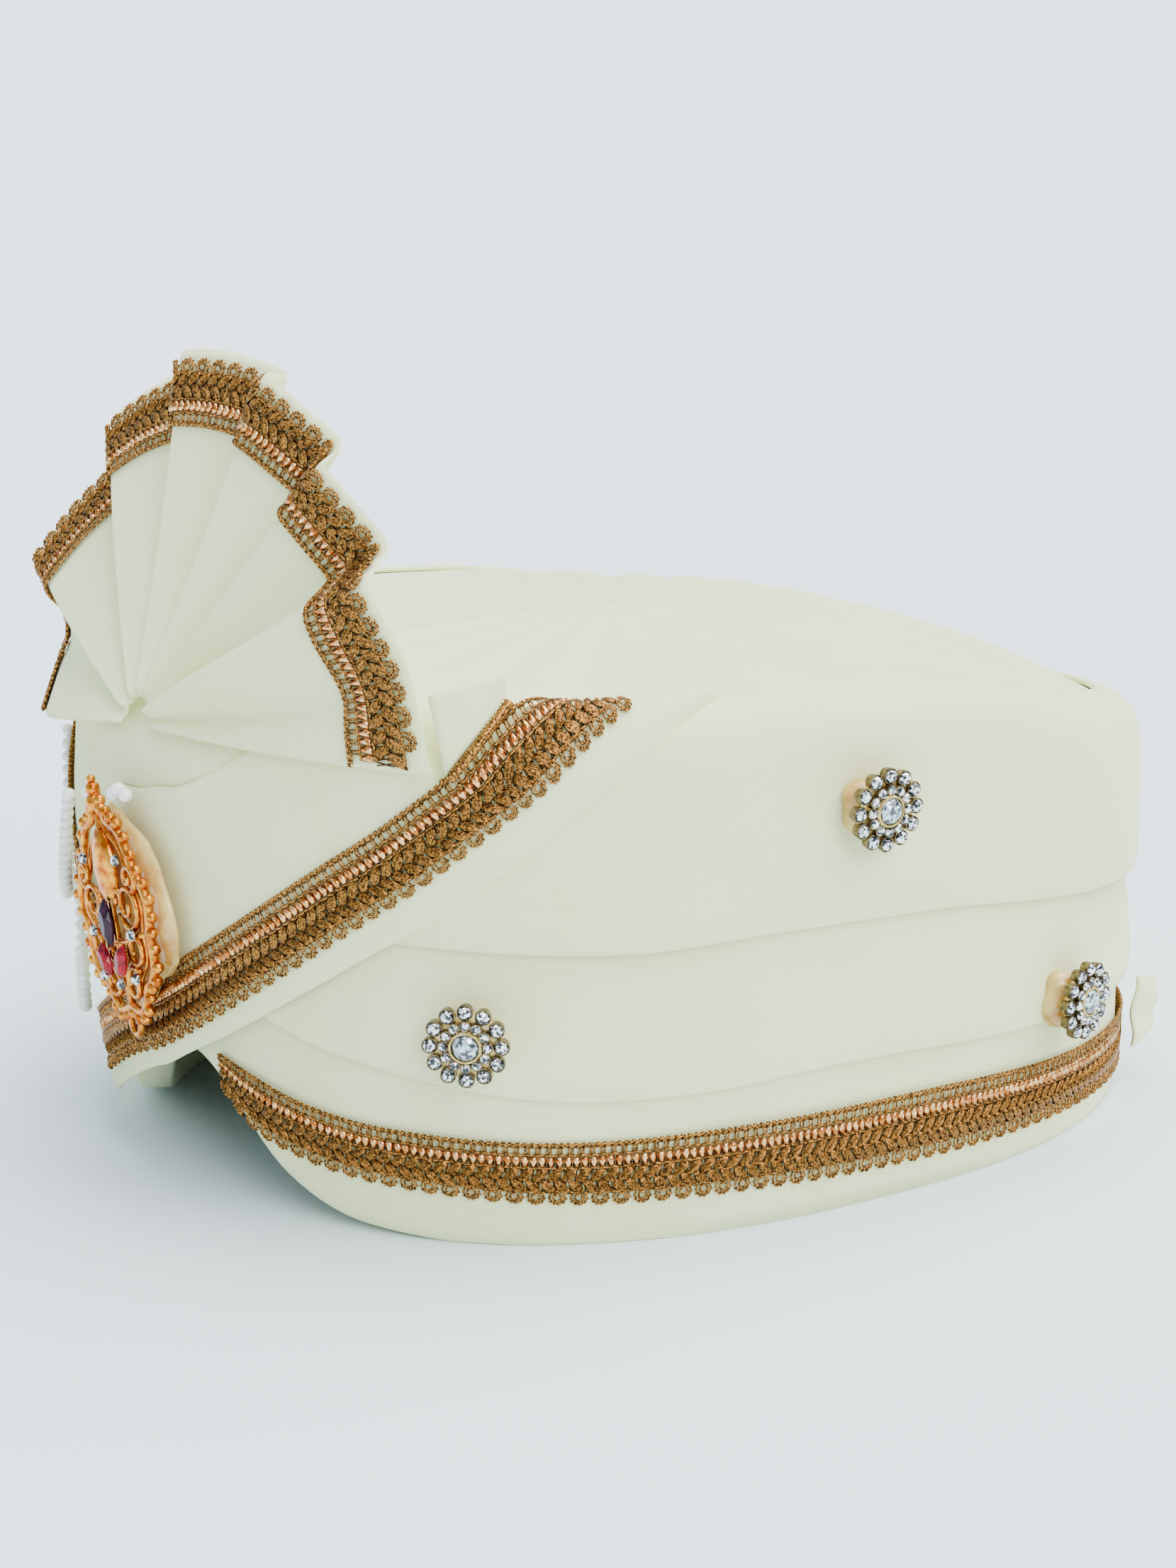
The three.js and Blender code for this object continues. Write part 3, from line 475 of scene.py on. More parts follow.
# %% Crown cloth
CROWN_OUT = -GAP - CLOTH - 0.2
CROWN_TURN = 1.15  # how far the side follows the rounded edge, in radians
SKIRT_FRONT, SKIRT_DROP = 80.0, 10.0  # height of the hidden hem in front, and its drop elsewhere
BROW_FULLNESS, BROW_SPREAD = 5.4, 27.0
GATHERS, GATHER_SIZE = 23, 0.5
crown_top = float(top_edge(90))
crown_u = np.arange(0, 360, 1.5)[:, None]
line = top_edge(crown_u) - SHOULDER
skirt = mix(SKIRT_FRONT, line - SKIRT_DROP, ramp(from_front(crown_u), 20, 50))
side_share = np.linspace(0, 1, 16)[None, :]
side_h = mix(skirt, line + CROWN_TURN * SHOULDER, side_share)
# the cloth is fuller behind the foot of the fan
brow = BROW_FULLNESS * np.exp(-(from_front(crown_u) / BROW_SPREAD) ** 2) * ramp(side_h, 78, 86)
brow = brow * (1 - 0.7 * ramp(side_h, 97, 105))
side_part = wall(crown_u, side_h, CROWN_OUT + brow)
radius = np.append(np.linspace(1, 0.02, 26)[1:], 0.0008)[None, :, None]
rim_of_dome = side_part[:, -1:, :]
gather = GATHER_SIZE * np.sin(np.radians(crown_u * GATHERS)) * np.sin(np.pi * radius[..., 0]) ** 2
dome_z = mix(crown_top, rim_of_dome[..., 2], radius[..., 0] ** 2.6) + gather
dome = np.concatenate([rim_of_dome[..., :2] * radius, dome_z[..., None]], -1)
crown_grid = np.concatenate([side_part, dome], 1)
crown = cloth_wall("crown_cloth", crown_grid, radial(crown_grid) + np.array([0, 0, 60]), ring=True,
                   closed_top=True)
dress(crown, "cream_cloth", "crown")

# %% [markdown]
# ## Crossing bands
# Two bands start at the sides of the crown, cross low on the brow and carry the lace. The
# wearer's left band lies on top and runs on past the crossing. A band's table gives three lines,
# and the cloth is laid through them.

# %% Left and right bands
BAND_TUCK, LACE_TUCK = 3.4, 8.0
BORDER_SHARE, BORDER_DROP, REAR_DROP = 0.24, 1.6, 2.9


def tuck(u, h):
    """Share by which cloth and lace are pulled in under the crown at the top of the wall."""
    share = ramp(h - top_edge(u), -3, 8)
    return share * share * (3 - 2 * share)


def band_point(rows, side, s, t, extra):
    s, t, extra = np.broadcast_arrays(*[np.asarray(a, float) for a in (s, t, extra)])
    column = [read(rows, k, s) for k in range(1, 10)]
    half = np.where(t < 0.5, t * 2, t * 2 - 1)
    low = t < 0.5
    u = np.where(low, mix(column[0], column[2], half), mix(column[2], column[4], half))
    h = np.where(low, mix(column[1], column[3], half), mix(column[3], column[5], half))
    out = np.where(low, column[7], mix(column[7], column[8], half))
    return wall(side * u, h, out + extra - BAND_TUCK * tuck(u, h))


def band_grid(rows, side, brow_drop):
    s = np.linspace(0, len(rows) - 1, 150)[:, None]
    t = ends_dense(46)[None, :]
    # the folded lower border lies down on the wraps, and further down at the rear
    soft = 0.3 * np.sin(s * 1.9 + 5 * t) * ramp(t, 0.52, 0.72)
    soft = soft - (BORDER_DROP + REAR_DROP * ramp(s, 6, 10)) * ramp(t, BORDER_SHARE, 0) ** 2
    at_brow = ramp(s, 5, 2) * ramp(t, 0.5, 1)
    return band_point(rows, side, s, t, CLOTH + soft + brow_drop * at_brow)


for name, rows, side, width, brow_drop in (("left_band", LEFT_BAND, 1, 62, -2.2),
                                           ("right_band", RIGHT_BAND, -1, 56, 1.2)):
    grid = band_grid(rows, side, brow_drop)
    band = cloth_wall(name + "_cloth", grid, radial(grid), thick=WRAP_CLOTH)
    dress(band, "cream_cloth", name)

# %% [markdown]
# ## Fan
# The fan is a strip of cloth pressed in knife pleats and pinched at the foot. Each pleat runs back
# from a raised fold to the foot of the next one. The height of the folds is read from their
# angles and blurred a little, which is how a pressed fold looks in soft cotton.

# %% Fan cloth
FAN_FOOT = np.array([4, -118.8, 102.6])
FAN_REACH, FAN_LEAN, FAN_FOLD, FAN_END, FAN_CLOTH = 78.6, math.radians(17.9), 10.0, 90.0, 1.2
FAN_LEFT_BEND, FAN_PINCH = 24.0, 4.0
RIGHT_BENDS = [(-20, -45, 6), (-77, -85, 11), (-85, -101, 6)]  # from and to an angle, how far back
CREASES = [(66, 6, 24), (77, 4, -14)]  # angle, half width and depth beside the last fold
RAISED_FOLDS = [-103, -75, -45, -15.5, 12.5, 36, 57]
FOLD_TURN = [1.5, 1.5, 1.5, 1.5, 1.8, 3.6, 4.2]  # half the width of each fold, in degrees
fold_angles, fold_lifts = [], []
for k, (start, next_fold) in enumerate(zip(RAISED_FOLDS, RAISED_FOLDS[1:])):
    fold_angles += [start + FOLD_TURN[k], (start + next_fold) / 2, next_fold - FOLD_TURN[k + 1]]
    fold_lifts += [0.6 * FAN_FOLD, 0.14 * FAN_FOLD, -0.4 * FAN_FOLD]
fold_angles += [RAISED_FOLDS[-1] + FOLD_TURN[-1], 73, FAN_END]
fold_lifts += [0.6 * FAN_FOLD, 0.1 * FAN_FOLD, 0]
BLUR_DEG = np.linspace(-1.6, 1.6, 9)


def fold_lift(theta):
    return np.mean([np.interp(theta + d, fold_angles, fold_lifts) for d in BLUR_DEG], axis=0)


def fan_point(theta, s):
    theta, s = np.broadcast_arrays(np.asarray(theta, float), np.asarray(s, float))
    side = s * FAN_REACH * np.sin(np.radians(theta))
    up = s * FAN_REACH * np.cos(np.radians(theta))
    # folds stay sharp down to the pinch, and the last panel sinks in beside its fold
    sink = sum(deep * np.exp(-((theta - at) / wide) ** 2) for at, wide, deep in CREASES)
    lift = fold_lift(theta) * s ** 0.8 + sink * s * (1 - s) ** 1.5
    bend = FAN_LEFT_BEND * ramp(theta, 20, FAN_END) ** 1.9 * s ** 2.2
    bend = bend + sum(back * ramp(theta, start, end) for start, end, back in RIGHT_BENDS) * s ** 3
    bend = bend - FAN_PINCH * (1 - s) ** 2
    y = bend + up * math.sin(FAN_LEAN) - lift * math.cos(FAN_LEAN)
    z = up * math.cos(FAN_LEAN) + lift * math.sin(FAN_LEAN)
    return np.stack([side, y, z], -1) + FAN_FOOT


FRONTWARD = np.array([0, -1, 0.1])
fan_theta = np.linspace(fold_angles[0], FAN_END, 320)[:, None]
HEM_CUT = 0.017  # the left half of the hem is cut a little shorter
fan_hem = 1.0 - HEM_CUT * ramp(fan_theta, -5, 25)
fan_grid = fan_point(fan_theta, mix(0.07, fan_hem, np.linspace(0, 1, 40)[None, :]))
fan = cloth_wall("fan_cloth", fan_grid, FRONTWARD, thick=FAN_CLOTH)
dress(fan, "cream_cloth", "fan")

# %% [markdown]
# ## Lace
# The trim is one repeat woven over and over: a looped heading with open rungs, a strip of folded
# copper foil between two cords, a braid of leaves of spun thread, and scallops along the foot.
# Each motif is a small mesh of threads. A node tree sets the motifs out along a straight strip,
# and the strip is then bent on to the cloth that carries it.

# %% Thread motifs
LACE_WIDTH = 14.7
SCALLOP, LEAF = 4.4, 2.93  # pitch of the scallops and of the leaves


def tube(path, radius, sides=4, closed=False):
    path = np.asarray(path, float)
    count = len(path)
    step = np.roll(path, -1, 0) - np.roll(path, 1, 0) if closed else np.gradient(path, axis=0)
    step /= np.linalg.norm(step, axis=1, keepdims=True) + 1e-12
    helper = np.where(np.abs(step[:, 2:3]) > 0.9, [[1, 0, 0]], [[0, 0, 1]])
    a = np.cross(step, helper)
    a /= np.linalg.norm(a, axis=1, keepdims=True)
    b = np.cross(step, a)
    turn = 2 * np.pi * np.arange(sides) / sides
    size = np.broadcast_to(np.asarray(radius, float), (count,))[:, None, None]
    ring = a[:, None] * np.cos(turn)[None, :, None] + b[:, None] * np.sin(turn)[None, :, None]
    points = (path[:, None] + size * ring).reshape(-1, 3)
    faces = []
    for i in range(count if closed else count - 1):
        for k in range(sides):
            nxt, k2 = (i + 1) % count, (k + 1) % sides
            faces.append([i * sides + k, nxt * sides + k, nxt * sides + k2, i * sides + k2])
    if not closed:
        faces.append(list(range(sides))[::-1])
        faces.append([(count - 1) * sides + k for k in range(sides)])
    return points, faces


def together(parts):
    points, faces, base = [], [], 0
    for p, f in parts:
        points.append(p)
        faces += [[base + k for k in face] for face in f]
        base += len(p)
    return np.concatenate(points), faces


def bow(start, end, rise, side, count=5):
    """A thread from start to end that rises off the cloth and bows sideways."""
    t = np.linspace(0, 1, count)[:, None]
    arch = np.sin(np.pi * t)
    start, end = np.array(start, float), np.array(end, float)
    sideways = np.array([-(end - start)[1], (end - start)[0], 0])
    sideways /= np.linalg.norm(sideways) + 1e-12
    return mix(start, end, t) + arch * (side * sideways + np.array([0, 0, rise]))


def leaf(foot, tip, threads, spread):
    return [tube(bow((*foot, 0.45), (*tip, 0.4), 0.6 - 0.3 * abs(k), spread * k, 4), 0.185, 3)
            for k in np.linspace(-1, 1, threads)]


def scallop_parts():
    t = np.linspace(0, 2 * np.pi, 9)[:-1]
    big = np.stack([2.2 + 1.7 * np.cos(t), 1.9 + 1.6 * np.sin(t), 0.5 + 0.15 * np.cos(2 * t)], 1)
    small = np.stack([2.2 + 0.85 * np.cos(t), 2.0 + 0.8 * np.sin(t), 0.75 + 0 * t], 1)
    parts = [tube(big, 0.27, 4, True), tube(small, 0.27, 4, True)]
    for angle in (-2.6, -2.0, -1.4, -0.8, -0.2):
        c, s = math.cos(angle), math.sin(angle)
        inner, outer = (2.2 + 0.8 * c, 1.9 + 0.8 * s, 0.7), (2.2 + 1.95 * c, 1.9 + 1.85 * s, 0.3)
        parts.append(tube(bow(inner, outer, 0.5, 0.15, 4), 0.24, 4))
    return parts


def ground_parts():
    """Crossed threads under the leaves, so that little cloth shows between them, in a darker gold that
    is painted shade.
    """
    return [tube(np.array([(0.1, 3.0, 0.12), (0.7, 5.8, 0.2), (0.1, 8.8, 0.12)]), 0.2, 3),
            tube(np.array([(0.8, 3.0, 0.2), (0.2, 5.8, 0.12), (0.8, 8.8, 0.2)]), 0.2, 3)]


def foil_parts():
    points = np.array([(0.1, 9.2, 0.25), (0.95, 9.2, 0.95), (1.7, 9.2, 0.35),
                       (0.1, 11.3, 0.35), (0.85, 11.3, 0.95), (1.7, 11.3, 0.2)])
    lower = points - np.array([0, 0, 0.2])
    faces = [[0, 1, 4, 3], [1, 2, 5, 4], [9, 10, 7, 6], [10, 11, 8, 7], [6, 7, 1, 0], [7, 8, 2, 1],
             [3, 4, 10, 9], [4, 5, 11, 10], [0, 3, 9, 6], [8, 11, 5, 2]]
    return np.concatenate([points, lower]), faces


def cord_part(y, radius):
    t = np.linspace(0, 1, 4)[:, None]
    return tube(np.concatenate([t * 2.2, y + 0.12 * np.sin(2 * np.pi * t), 0.45 + 0 * t], 1), radius, 4)


LEAVES = leaf((0.0, 5.5), (3.4, 8.7), 7, 0.95) + leaf((1.6, 6.1), (5.0, 2.8), 7, 0.95)
CORDS = [cord_part(8.75, 0.34), cord_part(11.75, 0.34), cord_part(3.1, 0.3)]
RUNGS = [tube(bow((0.3, 11.8, 0.3), (0.3, 13.6, 0.3), 0.15, 0.1, 4), 0.24),
         tube(bow((0.8, 11.8, 0.3), (0.9, 13.6, 0.3), 0.15, -0.1, 4), 0.24)]
HEADING = [tube(bow((0, 13.5, 0.4), (1.9, 14.4, 0.4), 0.3, 0.15, 4), 0.34),
           tube(bow((1.1, 14.5, 0.4), (2.6, 13.6, 0.4), 0.3, 0.1, 4), 0.32)]
MOTIFS = {  # name: (points and faces, pitch, material)
    "scallop": (together(scallop_parts()), SCALLOP, THREAD),
    "leaves": (together(LEAVES), LEAF, THREAD),
    "ground": (together(ground_parts()), 1.1, SHADED_THREAD),
    "cords": (together(CORDS), 2.2, THREAD),
    "foil": (foil_parts(), 1.76, FOIL),
    "rungs": (together(RUNGS), 2.2, THREAD),
    "heading": (together(HEADING), 1.47, THREAD)}
print({name: len(parts[1]) for name, (parts, _, _) in MOTIFS.items()}, "faces in each motif")

# %% [markdown]
# The tree has a length and one pitch for each motif. It works out how many fit, sets them on a
# line of points and ends by realizing them, because instances don't survive an export.

# %% Lace tree
def new_tree(name, inputs):
    tree = bpy.data.node_groups.new(name, "GeometryNodeTree")
    tree.interface.new_socket("Geometry", in_out="OUTPUT", socket_type="NodeSocketGeometry")
    for label, kind in inputs:
        tree.interface.new_socket(label, in_out="INPUT", socket_type=kind)
    return tree, add(tree, "NodeGroupInput"), add(tree, "NodeGroupOutput")


def copies(tree, points, source, **more):
    """Sets a copy of an object on each point."""
    info = add(tree, "GeometryNodeObjectInfo", {"Object": source})
    inputs = {"Points": points, "Instance": info.outputs["Geometry"], **more}
    return add(tree, "GeometryNodeInstanceOnPoints", inputs).outputs[0]


def finish_branch(tree, geometry, material, target):
    """Makes copies real, gives them their material and links them to a socket."""
    real = add(tree, "GeometryNodeRealizeInstances", {0: geometry})
    shaded = add(tree, "GeometryNodeSetMaterial", {0: real.outputs[0], "Material": material})
    tree.links.new(shaded.outputs[0], target)


def bake(tree, values):
    host = object_of(bpy.data.meshes.new(tree.name))
    modifier = host.modifiers.new("build", "NODES")
    modifier.node_group = tree
    for item in tree.interface.items_tree:
        if item.item_type == "SOCKET" and item.in_out == "INPUT":
            modifier[item.identifier] = values[item.name]
    shown = host.evaluated_get(bpy.context.evaluated_depsgraph_get())
    mesh = bpy.data.meshes.new_from_object(shown)
    bpy.data.objects.remove(host)
    return mesh


motif_objects = {name: solid("motif_" + name, part, material, placed=False)
                 for name, (part, _, material) in MOTIFS.items()}
lace_tree, lace_in, lace_out = new_tree("lace strip", [("Length", "NodeSocketFloat")] + [
    (name + " pitch", "NodeSocketFloat") for name in MOTIFS])
lace_join = add(lace_tree, "GeometryNodeJoinGeometry")
for name, (_, _, material) in MOTIFS.items():
    pitch = lace_in.outputs[name + " pitch"]
    fits = add(lace_tree, "ShaderNodeMath", {0: lace_in.outputs["Length"], 1: pitch},
               operation="DIVIDE")
    offset = add(lace_tree, "ShaderNodeCombineXYZ", {"X": pitch})
    row = add(lace_tree, "GeometryNodeMeshLine", {"Count": fits.outputs[0],
                                                  "Offset": offset.outputs[0]})
    motifs = copies(lace_tree, row.outputs[0], motif_objects[name])
    finish_branch(lace_tree, motifs, material, lace_join.inputs[0])
lace_tree.links.new(lace_join.outputs[0], lace_out.inputs[0])


def lay_lace(node, point_at):
    """Bends a straight strip on to a surface, by point_at(share along, share across, height)."""
    shares = np.linspace(0, 1, 600)
    middle = point_at(shares, 0.5, 0 * shares)
    run = np.append(0, np.cumsum(np.linalg.norm(np.diff(middle, axis=0), axis=1)))
    values = {"Length": run[-1] * MM}
    values.update({key + " pitch": pitch * MM for key, (_, pitch, _) in MOTIFS.items()})
    mesh = bake(lace_tree, values)
    flat = points_of(mesh)
    share = np.interp(flat[:, 0], run, shares)
    put_points(mesh, point_at(share, flat[:, 1] / LACE_WIDTH, flat[:, 2]))
    mesh.name = node + "_trim"
    mesh.shade_smooth()
    print(mesh.name, "is", round(run[-1]), "mm long")
    return dress(object_of(mesh), "gold_lace", node)


# %% Lace on the rim and the bands
LACE_GAP = 0.3


def rim_lace_point(share, across, out):
    start = RIM_LACE[0][0]
    u = mix(start, 360 - start, share)
    away = from_front(u)
    h = mix(read(RIM_LACE, 1, away), read(RIM_LACE, 2, away), across)
    return wall(u, h, LACE_GAP + out)


lay_lace("rim_lace", rim_lace_point)


def lace_foot(rows, s):
    """Angle, height and distance out of the line that the scallops stand on."""
    share = read(rows, 7, s)
    return (mix(read(rows, 1, s), read(rows, 3, s), share),
            mix(read(rows, 2, s), read(rows, 4, s), share), read(rows, 8, s))


def band_lace_point(rows, side, first, last):
    """The strip keeps its width, measured square to the line of its foot."""
    def point(share, across, out):
        s = mix(first, last, np.asarray(share, float))
        u, h, base = lace_foot(rows, s)
        ahead, behind = lace_foot(rows, s + 0.1), lace_foot(rows, s - 0.1)
        degree = np.linalg.norm(wall(u + 0.5, h, base) - wall(u - 0.5, h, base), axis=-1)
        run, rise = (ahead[0] - behind[0]) * degree, ahead[1] - behind[1]
        far = LACE_WIDTH * np.asarray(across) / np.hypot(run, rise)
        u, h = u - far * rise / degree, h + far * run
        return wall(side * u, h, base + CLOTH + LACE_GAP + out - LACE_TUCK * tuck(u, h))
    return point


for name, rows, side, first, last in (("left_band_lace", LEFT_BAND, 1, 1.0, 11.5),
                                      ("right_band_lace", RIGHT_BAND, -1, 3.5, 10.5)):
    lay_lace(name, band_lace_point(rows, side, first, last))

# %% Lace on the fan
FAN_LACE_EDGES = 0.972, 0.785  # shares of the fan's reach


def fan_lace_point(share, across, out):
    theta = mix(fold_angles[0] + 0.5, FAN_END - 0.5, share)
    s = mix(*FAN_LACE_EDGES, across)
    here = fan_point(theta, s)
    along = fan_point(theta + 0.4, s) - fan_point(theta - 0.4, s)
    outward = fan_point(theta, s + 0.01) - fan_point(theta, s - 0.01)
    normal = np.cross(along, outward)
    normal /= np.linalg.norm(normal, axis=-1, keepdims=True)
    normal *= np.where((normal * FRONTWARD).sum(-1, keepdims=True) > 0, 1, -1)
    return here + normal * (LACE_GAP + np.asarray(out))[..., None]


lay_lace("fan_lace", fan_lace_point)
for made in motif_objects.values():
    bpy.data.objects.remove(made)

# %% [markdown]
# ## Stone flowers
# Each flower is a pale gilt plate with scalloped lobes, a ring of small stones round a large one
# and an outer ring of stones standing in cups. A cut stone has a flat table over a band of
# facets. The tree sets one stone and its cup at each place round a ring.

# %% Cut stones and cups
def cut_stone(radius, height, sides, stretch=1.0):
    """A table over two rows of facets, on a girdle."""
    rows = [(0.0, 1.0, 0.0), (0.25, 1.0, 0.0), (0.7, 0.82, 0.5), (1.0, 0.55, 0.0)]
    points, faces = [], []
    for up, share, shift in rows:
        angle = 2 * np.pi * (np.arange(sides) + shift) / sides
        across, along = radius * share * np.cos(angle), radius * stretch * share * np.sin(angle)
        points.append(np.stack([across, along, np.full(sides, height * up)], 1))
    for row in range(len(rows) - 1):
        a, b, lean = row * sides, (row + 1) * sides, rows[row + 1][2] > rows[row][2]
        for k in range(sides):
            k2 = (k + 1) % sides
            if rows[row][2] == rows[row + 1][2]:
                faces.append([a + k, a + k2, b + k2, b + k])
            elif lean:
                faces += [[a + k, a + k2, b + k], [a + k2, b + k2, b + k]]
            else:
                faces += [[a + k, a + k2, b + k2], [a + k, b + k2, b + k]]
    faces += [list(range(sides))[::-1], [3 * sides + k for k in range(sides)]]
    return np.concatenate(points), faces


def ring_faces(rows, count):
    """Faces of a stack of rings, with a flat face at each end."""
    faces = []
    for a, b in zip(range(0, (rows - 1) * count, count), range(count, rows * count, count)):
        for k in range(count):
            k2 = (k + 1) % count
            faces.append([a + k, a + k2, b + k2, b + k])
    return faces + [list(range(count))[::-1], [(rows - 1) * count + k for k in range(count)]]


def lathe(profile, sides=24, scale=(1, 1)):
    angle = 2 * np.pi * np.arange(sides) / sides
    points = [(r * scale[0] * math.cos(a), r * scale[1] * math.sin(a), z)
              for r, z in profile for a in angle]
    return np.array(points), ring_faces(len(profile), sides)


def moved(part, x=0.0, y=0.0, z=0.0, turn=0.0):
    points, faces = part
    c, s = math.cos(math.radians(turn)), math.sin(math.radians(turn))
    spun = points @ np.array([[c, s, 0], [-s, c, 0], [0, 0, 1]])
    return spun + np.array([x, y, z]), faces


INNER_RING, OUTER_RING = 4.45, 7.2
CUP_PROFILE = [(1.3, 0), (1.5, 0), (1.72, 1.5), (1.7, 1.95), (1.5, 2.0), (1.4, 1.5)]


def flower_plate():
    angle = np.radians(np.arange(0, 360, 3))
    lobe = (np.degrees(angle) + 15) % 30 - 15
    reach = 7.2 + 1.55 * np.cos(np.radians(lobe) * 6) ** 2
    rows = [(0.98, 0.0), (1.0, 0.3), (1.0, 0.7), (0.96, 1.0), (0.7, 1.15), (0.3, 1.2), (0.02, 1.2)]
    points = [np.stack([r * reach * np.cos(angle), r * reach * np.sin(angle), np.full(len(angle), z)], 1)
              for r, z in rows]
    return np.concatenate(points), ring_faces(len(rows), len(angle))


INNER_CUP_PROFILE = [(0.9, 0), (1.16, 0), (1.2, 1.3), (1.0, 1.35)]
COLLAR_PROFILE = [(3.3, 0), (3.5, 1.4), (3.3, 1.75), (2.9, 1.8), (2.8, 1.2)]
RING_KINDS = {  # what is set round a ring: points and faces, material
    "outer stone": (moved(cut_stone(1.42, 1.0, 8), z=1.75), STONE),
    "outer cup": (lathe(CUP_PROFILE, 12), DARK_RIM),
    "inner stone": (moved(cut_stone(1.05, 0.9, 8), z=2.2), STONE),
    "inner cup": (moved(lathe(INNER_CUP_PROFILE, 10), z=1.1), DARK_RIM)}
MIDDLE_KINDS = {
    "plate": (flower_plate(), GILT),
    "collar": (moved(lathe(COLLAR_PROFILE, 28), z=1.1), GILT),
    "centre stone": (moved(cut_stone(2.85, 1.9, 12), z=2.0), BLUE_STONE)}
flower_sources = {key: solid(key, part, material, smooth=False, placed=False)
                  for key, (part, material) in {**RING_KINDS, **MIDDLE_KINDS}.items()}

# %% Flower tree
flower_tree, flower_in, flower_out = new_tree("stone flower", [
    ("Stones", "NodeSocketInt"), ("Inner ring", "NodeSocketFloat"), ("Outer ring", "NodeSocketFloat")])
flower_join = add(flower_tree, "GeometryNodeJoinGeometry")
for key, (_, material) in RING_KINDS.items():
    ring = flower_in.outputs["Outer ring" if key.startswith("outer") else "Inner ring"]
    circle = add(flower_tree, "GeometryNodeMeshCircle", {"Vertices": flower_in.outputs["Stones"],
                                                         "Radius": ring})
    stones = copies(flower_tree, circle.outputs[0], flower_sources[key])
    finish_branch(flower_tree, stones, material, flower_join.inputs[0])
for key, (_, material) in MIDDLE_KINDS.items():
    source = add(flower_tree, "GeometryNodeObjectInfo", {"Object": flower_sources[key]})
    finish_branch(flower_tree, source.outputs["Geometry"], material, flower_join.inputs[0])
flower_tree.links.new(flower_join.outputs[0], flower_out.inputs[0])
flower_mesh = bake(flower_tree, {"Stones": 12, "Inner ring": INNER_RING * MM,
                                 "Outer ring": OUTER_RING * MM})
for made in flower_sources.values():
    bpy.data.objects.remove(made)
print("flower:", len(flower_mesh.polygons), "faces")

# %% [markdown]
# A flower stands off the cloth on a blob of set glue that squeezes out to one side. Its place is
# the wall's own direction at that point.

# %% Flowers and their glue in place
FLOWER_STAND, GLUE_STAND = 6.6, 1.6  # distances outside the wall
# name, angle from the front, height
FLOWERS = [("front", 46.4, 46.9), ("side", 88.5, 89.6), ("back", 112.6, 35.7)]


def stand(u, h, out):
    """Origin and axes (along the wall, up the wall, straight out) at a place on the wall."""
    along = wall(u + 1, h, out) - wall(u - 1, h, out)
    upward = wall(u, h + 2, out) - wall(u, h - 2, out)
    normal = np.cross(along, upward)
    normal /= np.linalg.norm(normal)
    along /= np.linalg.norm(along)
    return wall(u, h, out), np.stack([along, np.cross(normal, along), normal])


# share of the outline, share of the depth
DROP_ROWS = [(0.92, 0), (1.0, 0.18), (0.97, 0.5), (0.82, 0.85), (0.5, 1.0), (0.03, 1.0)]


def blob(name, base, axes, seed, wide, tall, deep, lean):
    """A squeezed-out drop: a half ball with an uneven outline, leaning to one side."""
    angle = np.radians(np.arange(0, 360, 15))
    uneven = 1 + 0.1 * np.sin(3 * angle + seed) + 0.06 * np.sin(5 * angle + 2 * seed)
    points = []
    for r, z in DROP_ROWS:
        x = wide * r * uneven * np.cos(angle) + lean * (1 - z)
        y = tall * r * uneven * np.sin(angle)
        points.append(np.stack([x, y, np.full(len(angle), deep * z)], 1))
    placed = np.concatenate(points) @ axes + base
    return solid(name, (placed, ring_faces(len(DROP_ROWS), len(angle))), GLUE)


for side in (1, -1):
    for seed, (place, u, h) in enumerate(FLOWERS):
        label = ("left_" if side > 0 else "right_") + place
        origin, axes = stand(side * u, h, FLOWER_STAND)
        mesh = flower_mesh.copy()
        mesh.name = label + "_flower_stones"
        put_points(mesh, points_of(mesh) @ axes + origin)
        dress(object_of(mesh), "pale_gold", label + "_flower")
        glue = blob(label + "_glue_drop", *stand(side * u, h, GLUE_STAND), seed,
                    wide=6.6, tall=6.2, deep=5.0, lean=-1.3)
        dress(glue, "amber_glue", label + "_glue")

# %% [markdown]
# ## Brooch
# The brooch is a pierced leaf cast in gilt metal: a beaded outline, scrolls of thick wire, a plain
# leaf boss at the top, coloured pointed stones and small clear ones, a finial above and a ring
# below. It stands on glue over the crossing, with a few loose beads beside its finial.

# %% Brooch casting
BROOCH_PLACE = np.array([3, -127.2, 61.5])
BROOCH_AXES = np.array((Matrix.Rotation(math.radians(94), 3, "X")
                        @ Matrix.Rotation(math.radians(11), 3, "Z")).transposed())
LEAF_WIDE, LEAF_TALL = 18.6, 23.4
BROOCH_SHARE = 0.9  # the casting inside the room that its solid keeps


def on_brooch(points):
    return BROOCH_SHARE * points @ BROOCH_AXES + BROOCH_PLACE


def leaf_outline(angle, wide=LEAF_WIDE, tall=LEAF_TALL):
    up = np.cos(angle)
    narrow = 1 - 0.34 * np.maximum(0, up) ** 2
    lobes = 1 + 0.05 * np.cos(9 * angle)
    return np.stack([wide * np.sin(angle) * narrow * lobes,
                     tall * up * lobes + 0.1 * tall * np.maximum(0, up) ** 6, 0 * angle], 1)


def scroll(x, y, size, start, turns, flip, thick=0.85, count=22):
    t = np.linspace(0, 1, count)
    angle = math.radians(start) + flip * turns * 2 * np.pi * t
    r = size * (1 - 0.78 * t)
    path = np.stack([x + r * np.cos(angle), y + r * np.sin(angle), 0.5 + 0.9 * t], 1)
    return tube(path, thick * (1 - 0.35 * t), 6)


def ball(x, y, z, radius):
    profile = [(radius * math.sin(math.radians(a)) + 1e-3, -radius * math.cos(math.radians(a)))
               for a in (8, 40, 75, 105, 140, 172)]
    return moved(lathe(profile, 10), x, y, z)


outline_angle = 2 * np.pi * np.arange(72) / 72
castings = [tube(leaf_outline(outline_angle), 1.15, 6, True),
            tube(leaf_outline(outline_angle, 15.2, 19.6), 0.6, 6, True)]
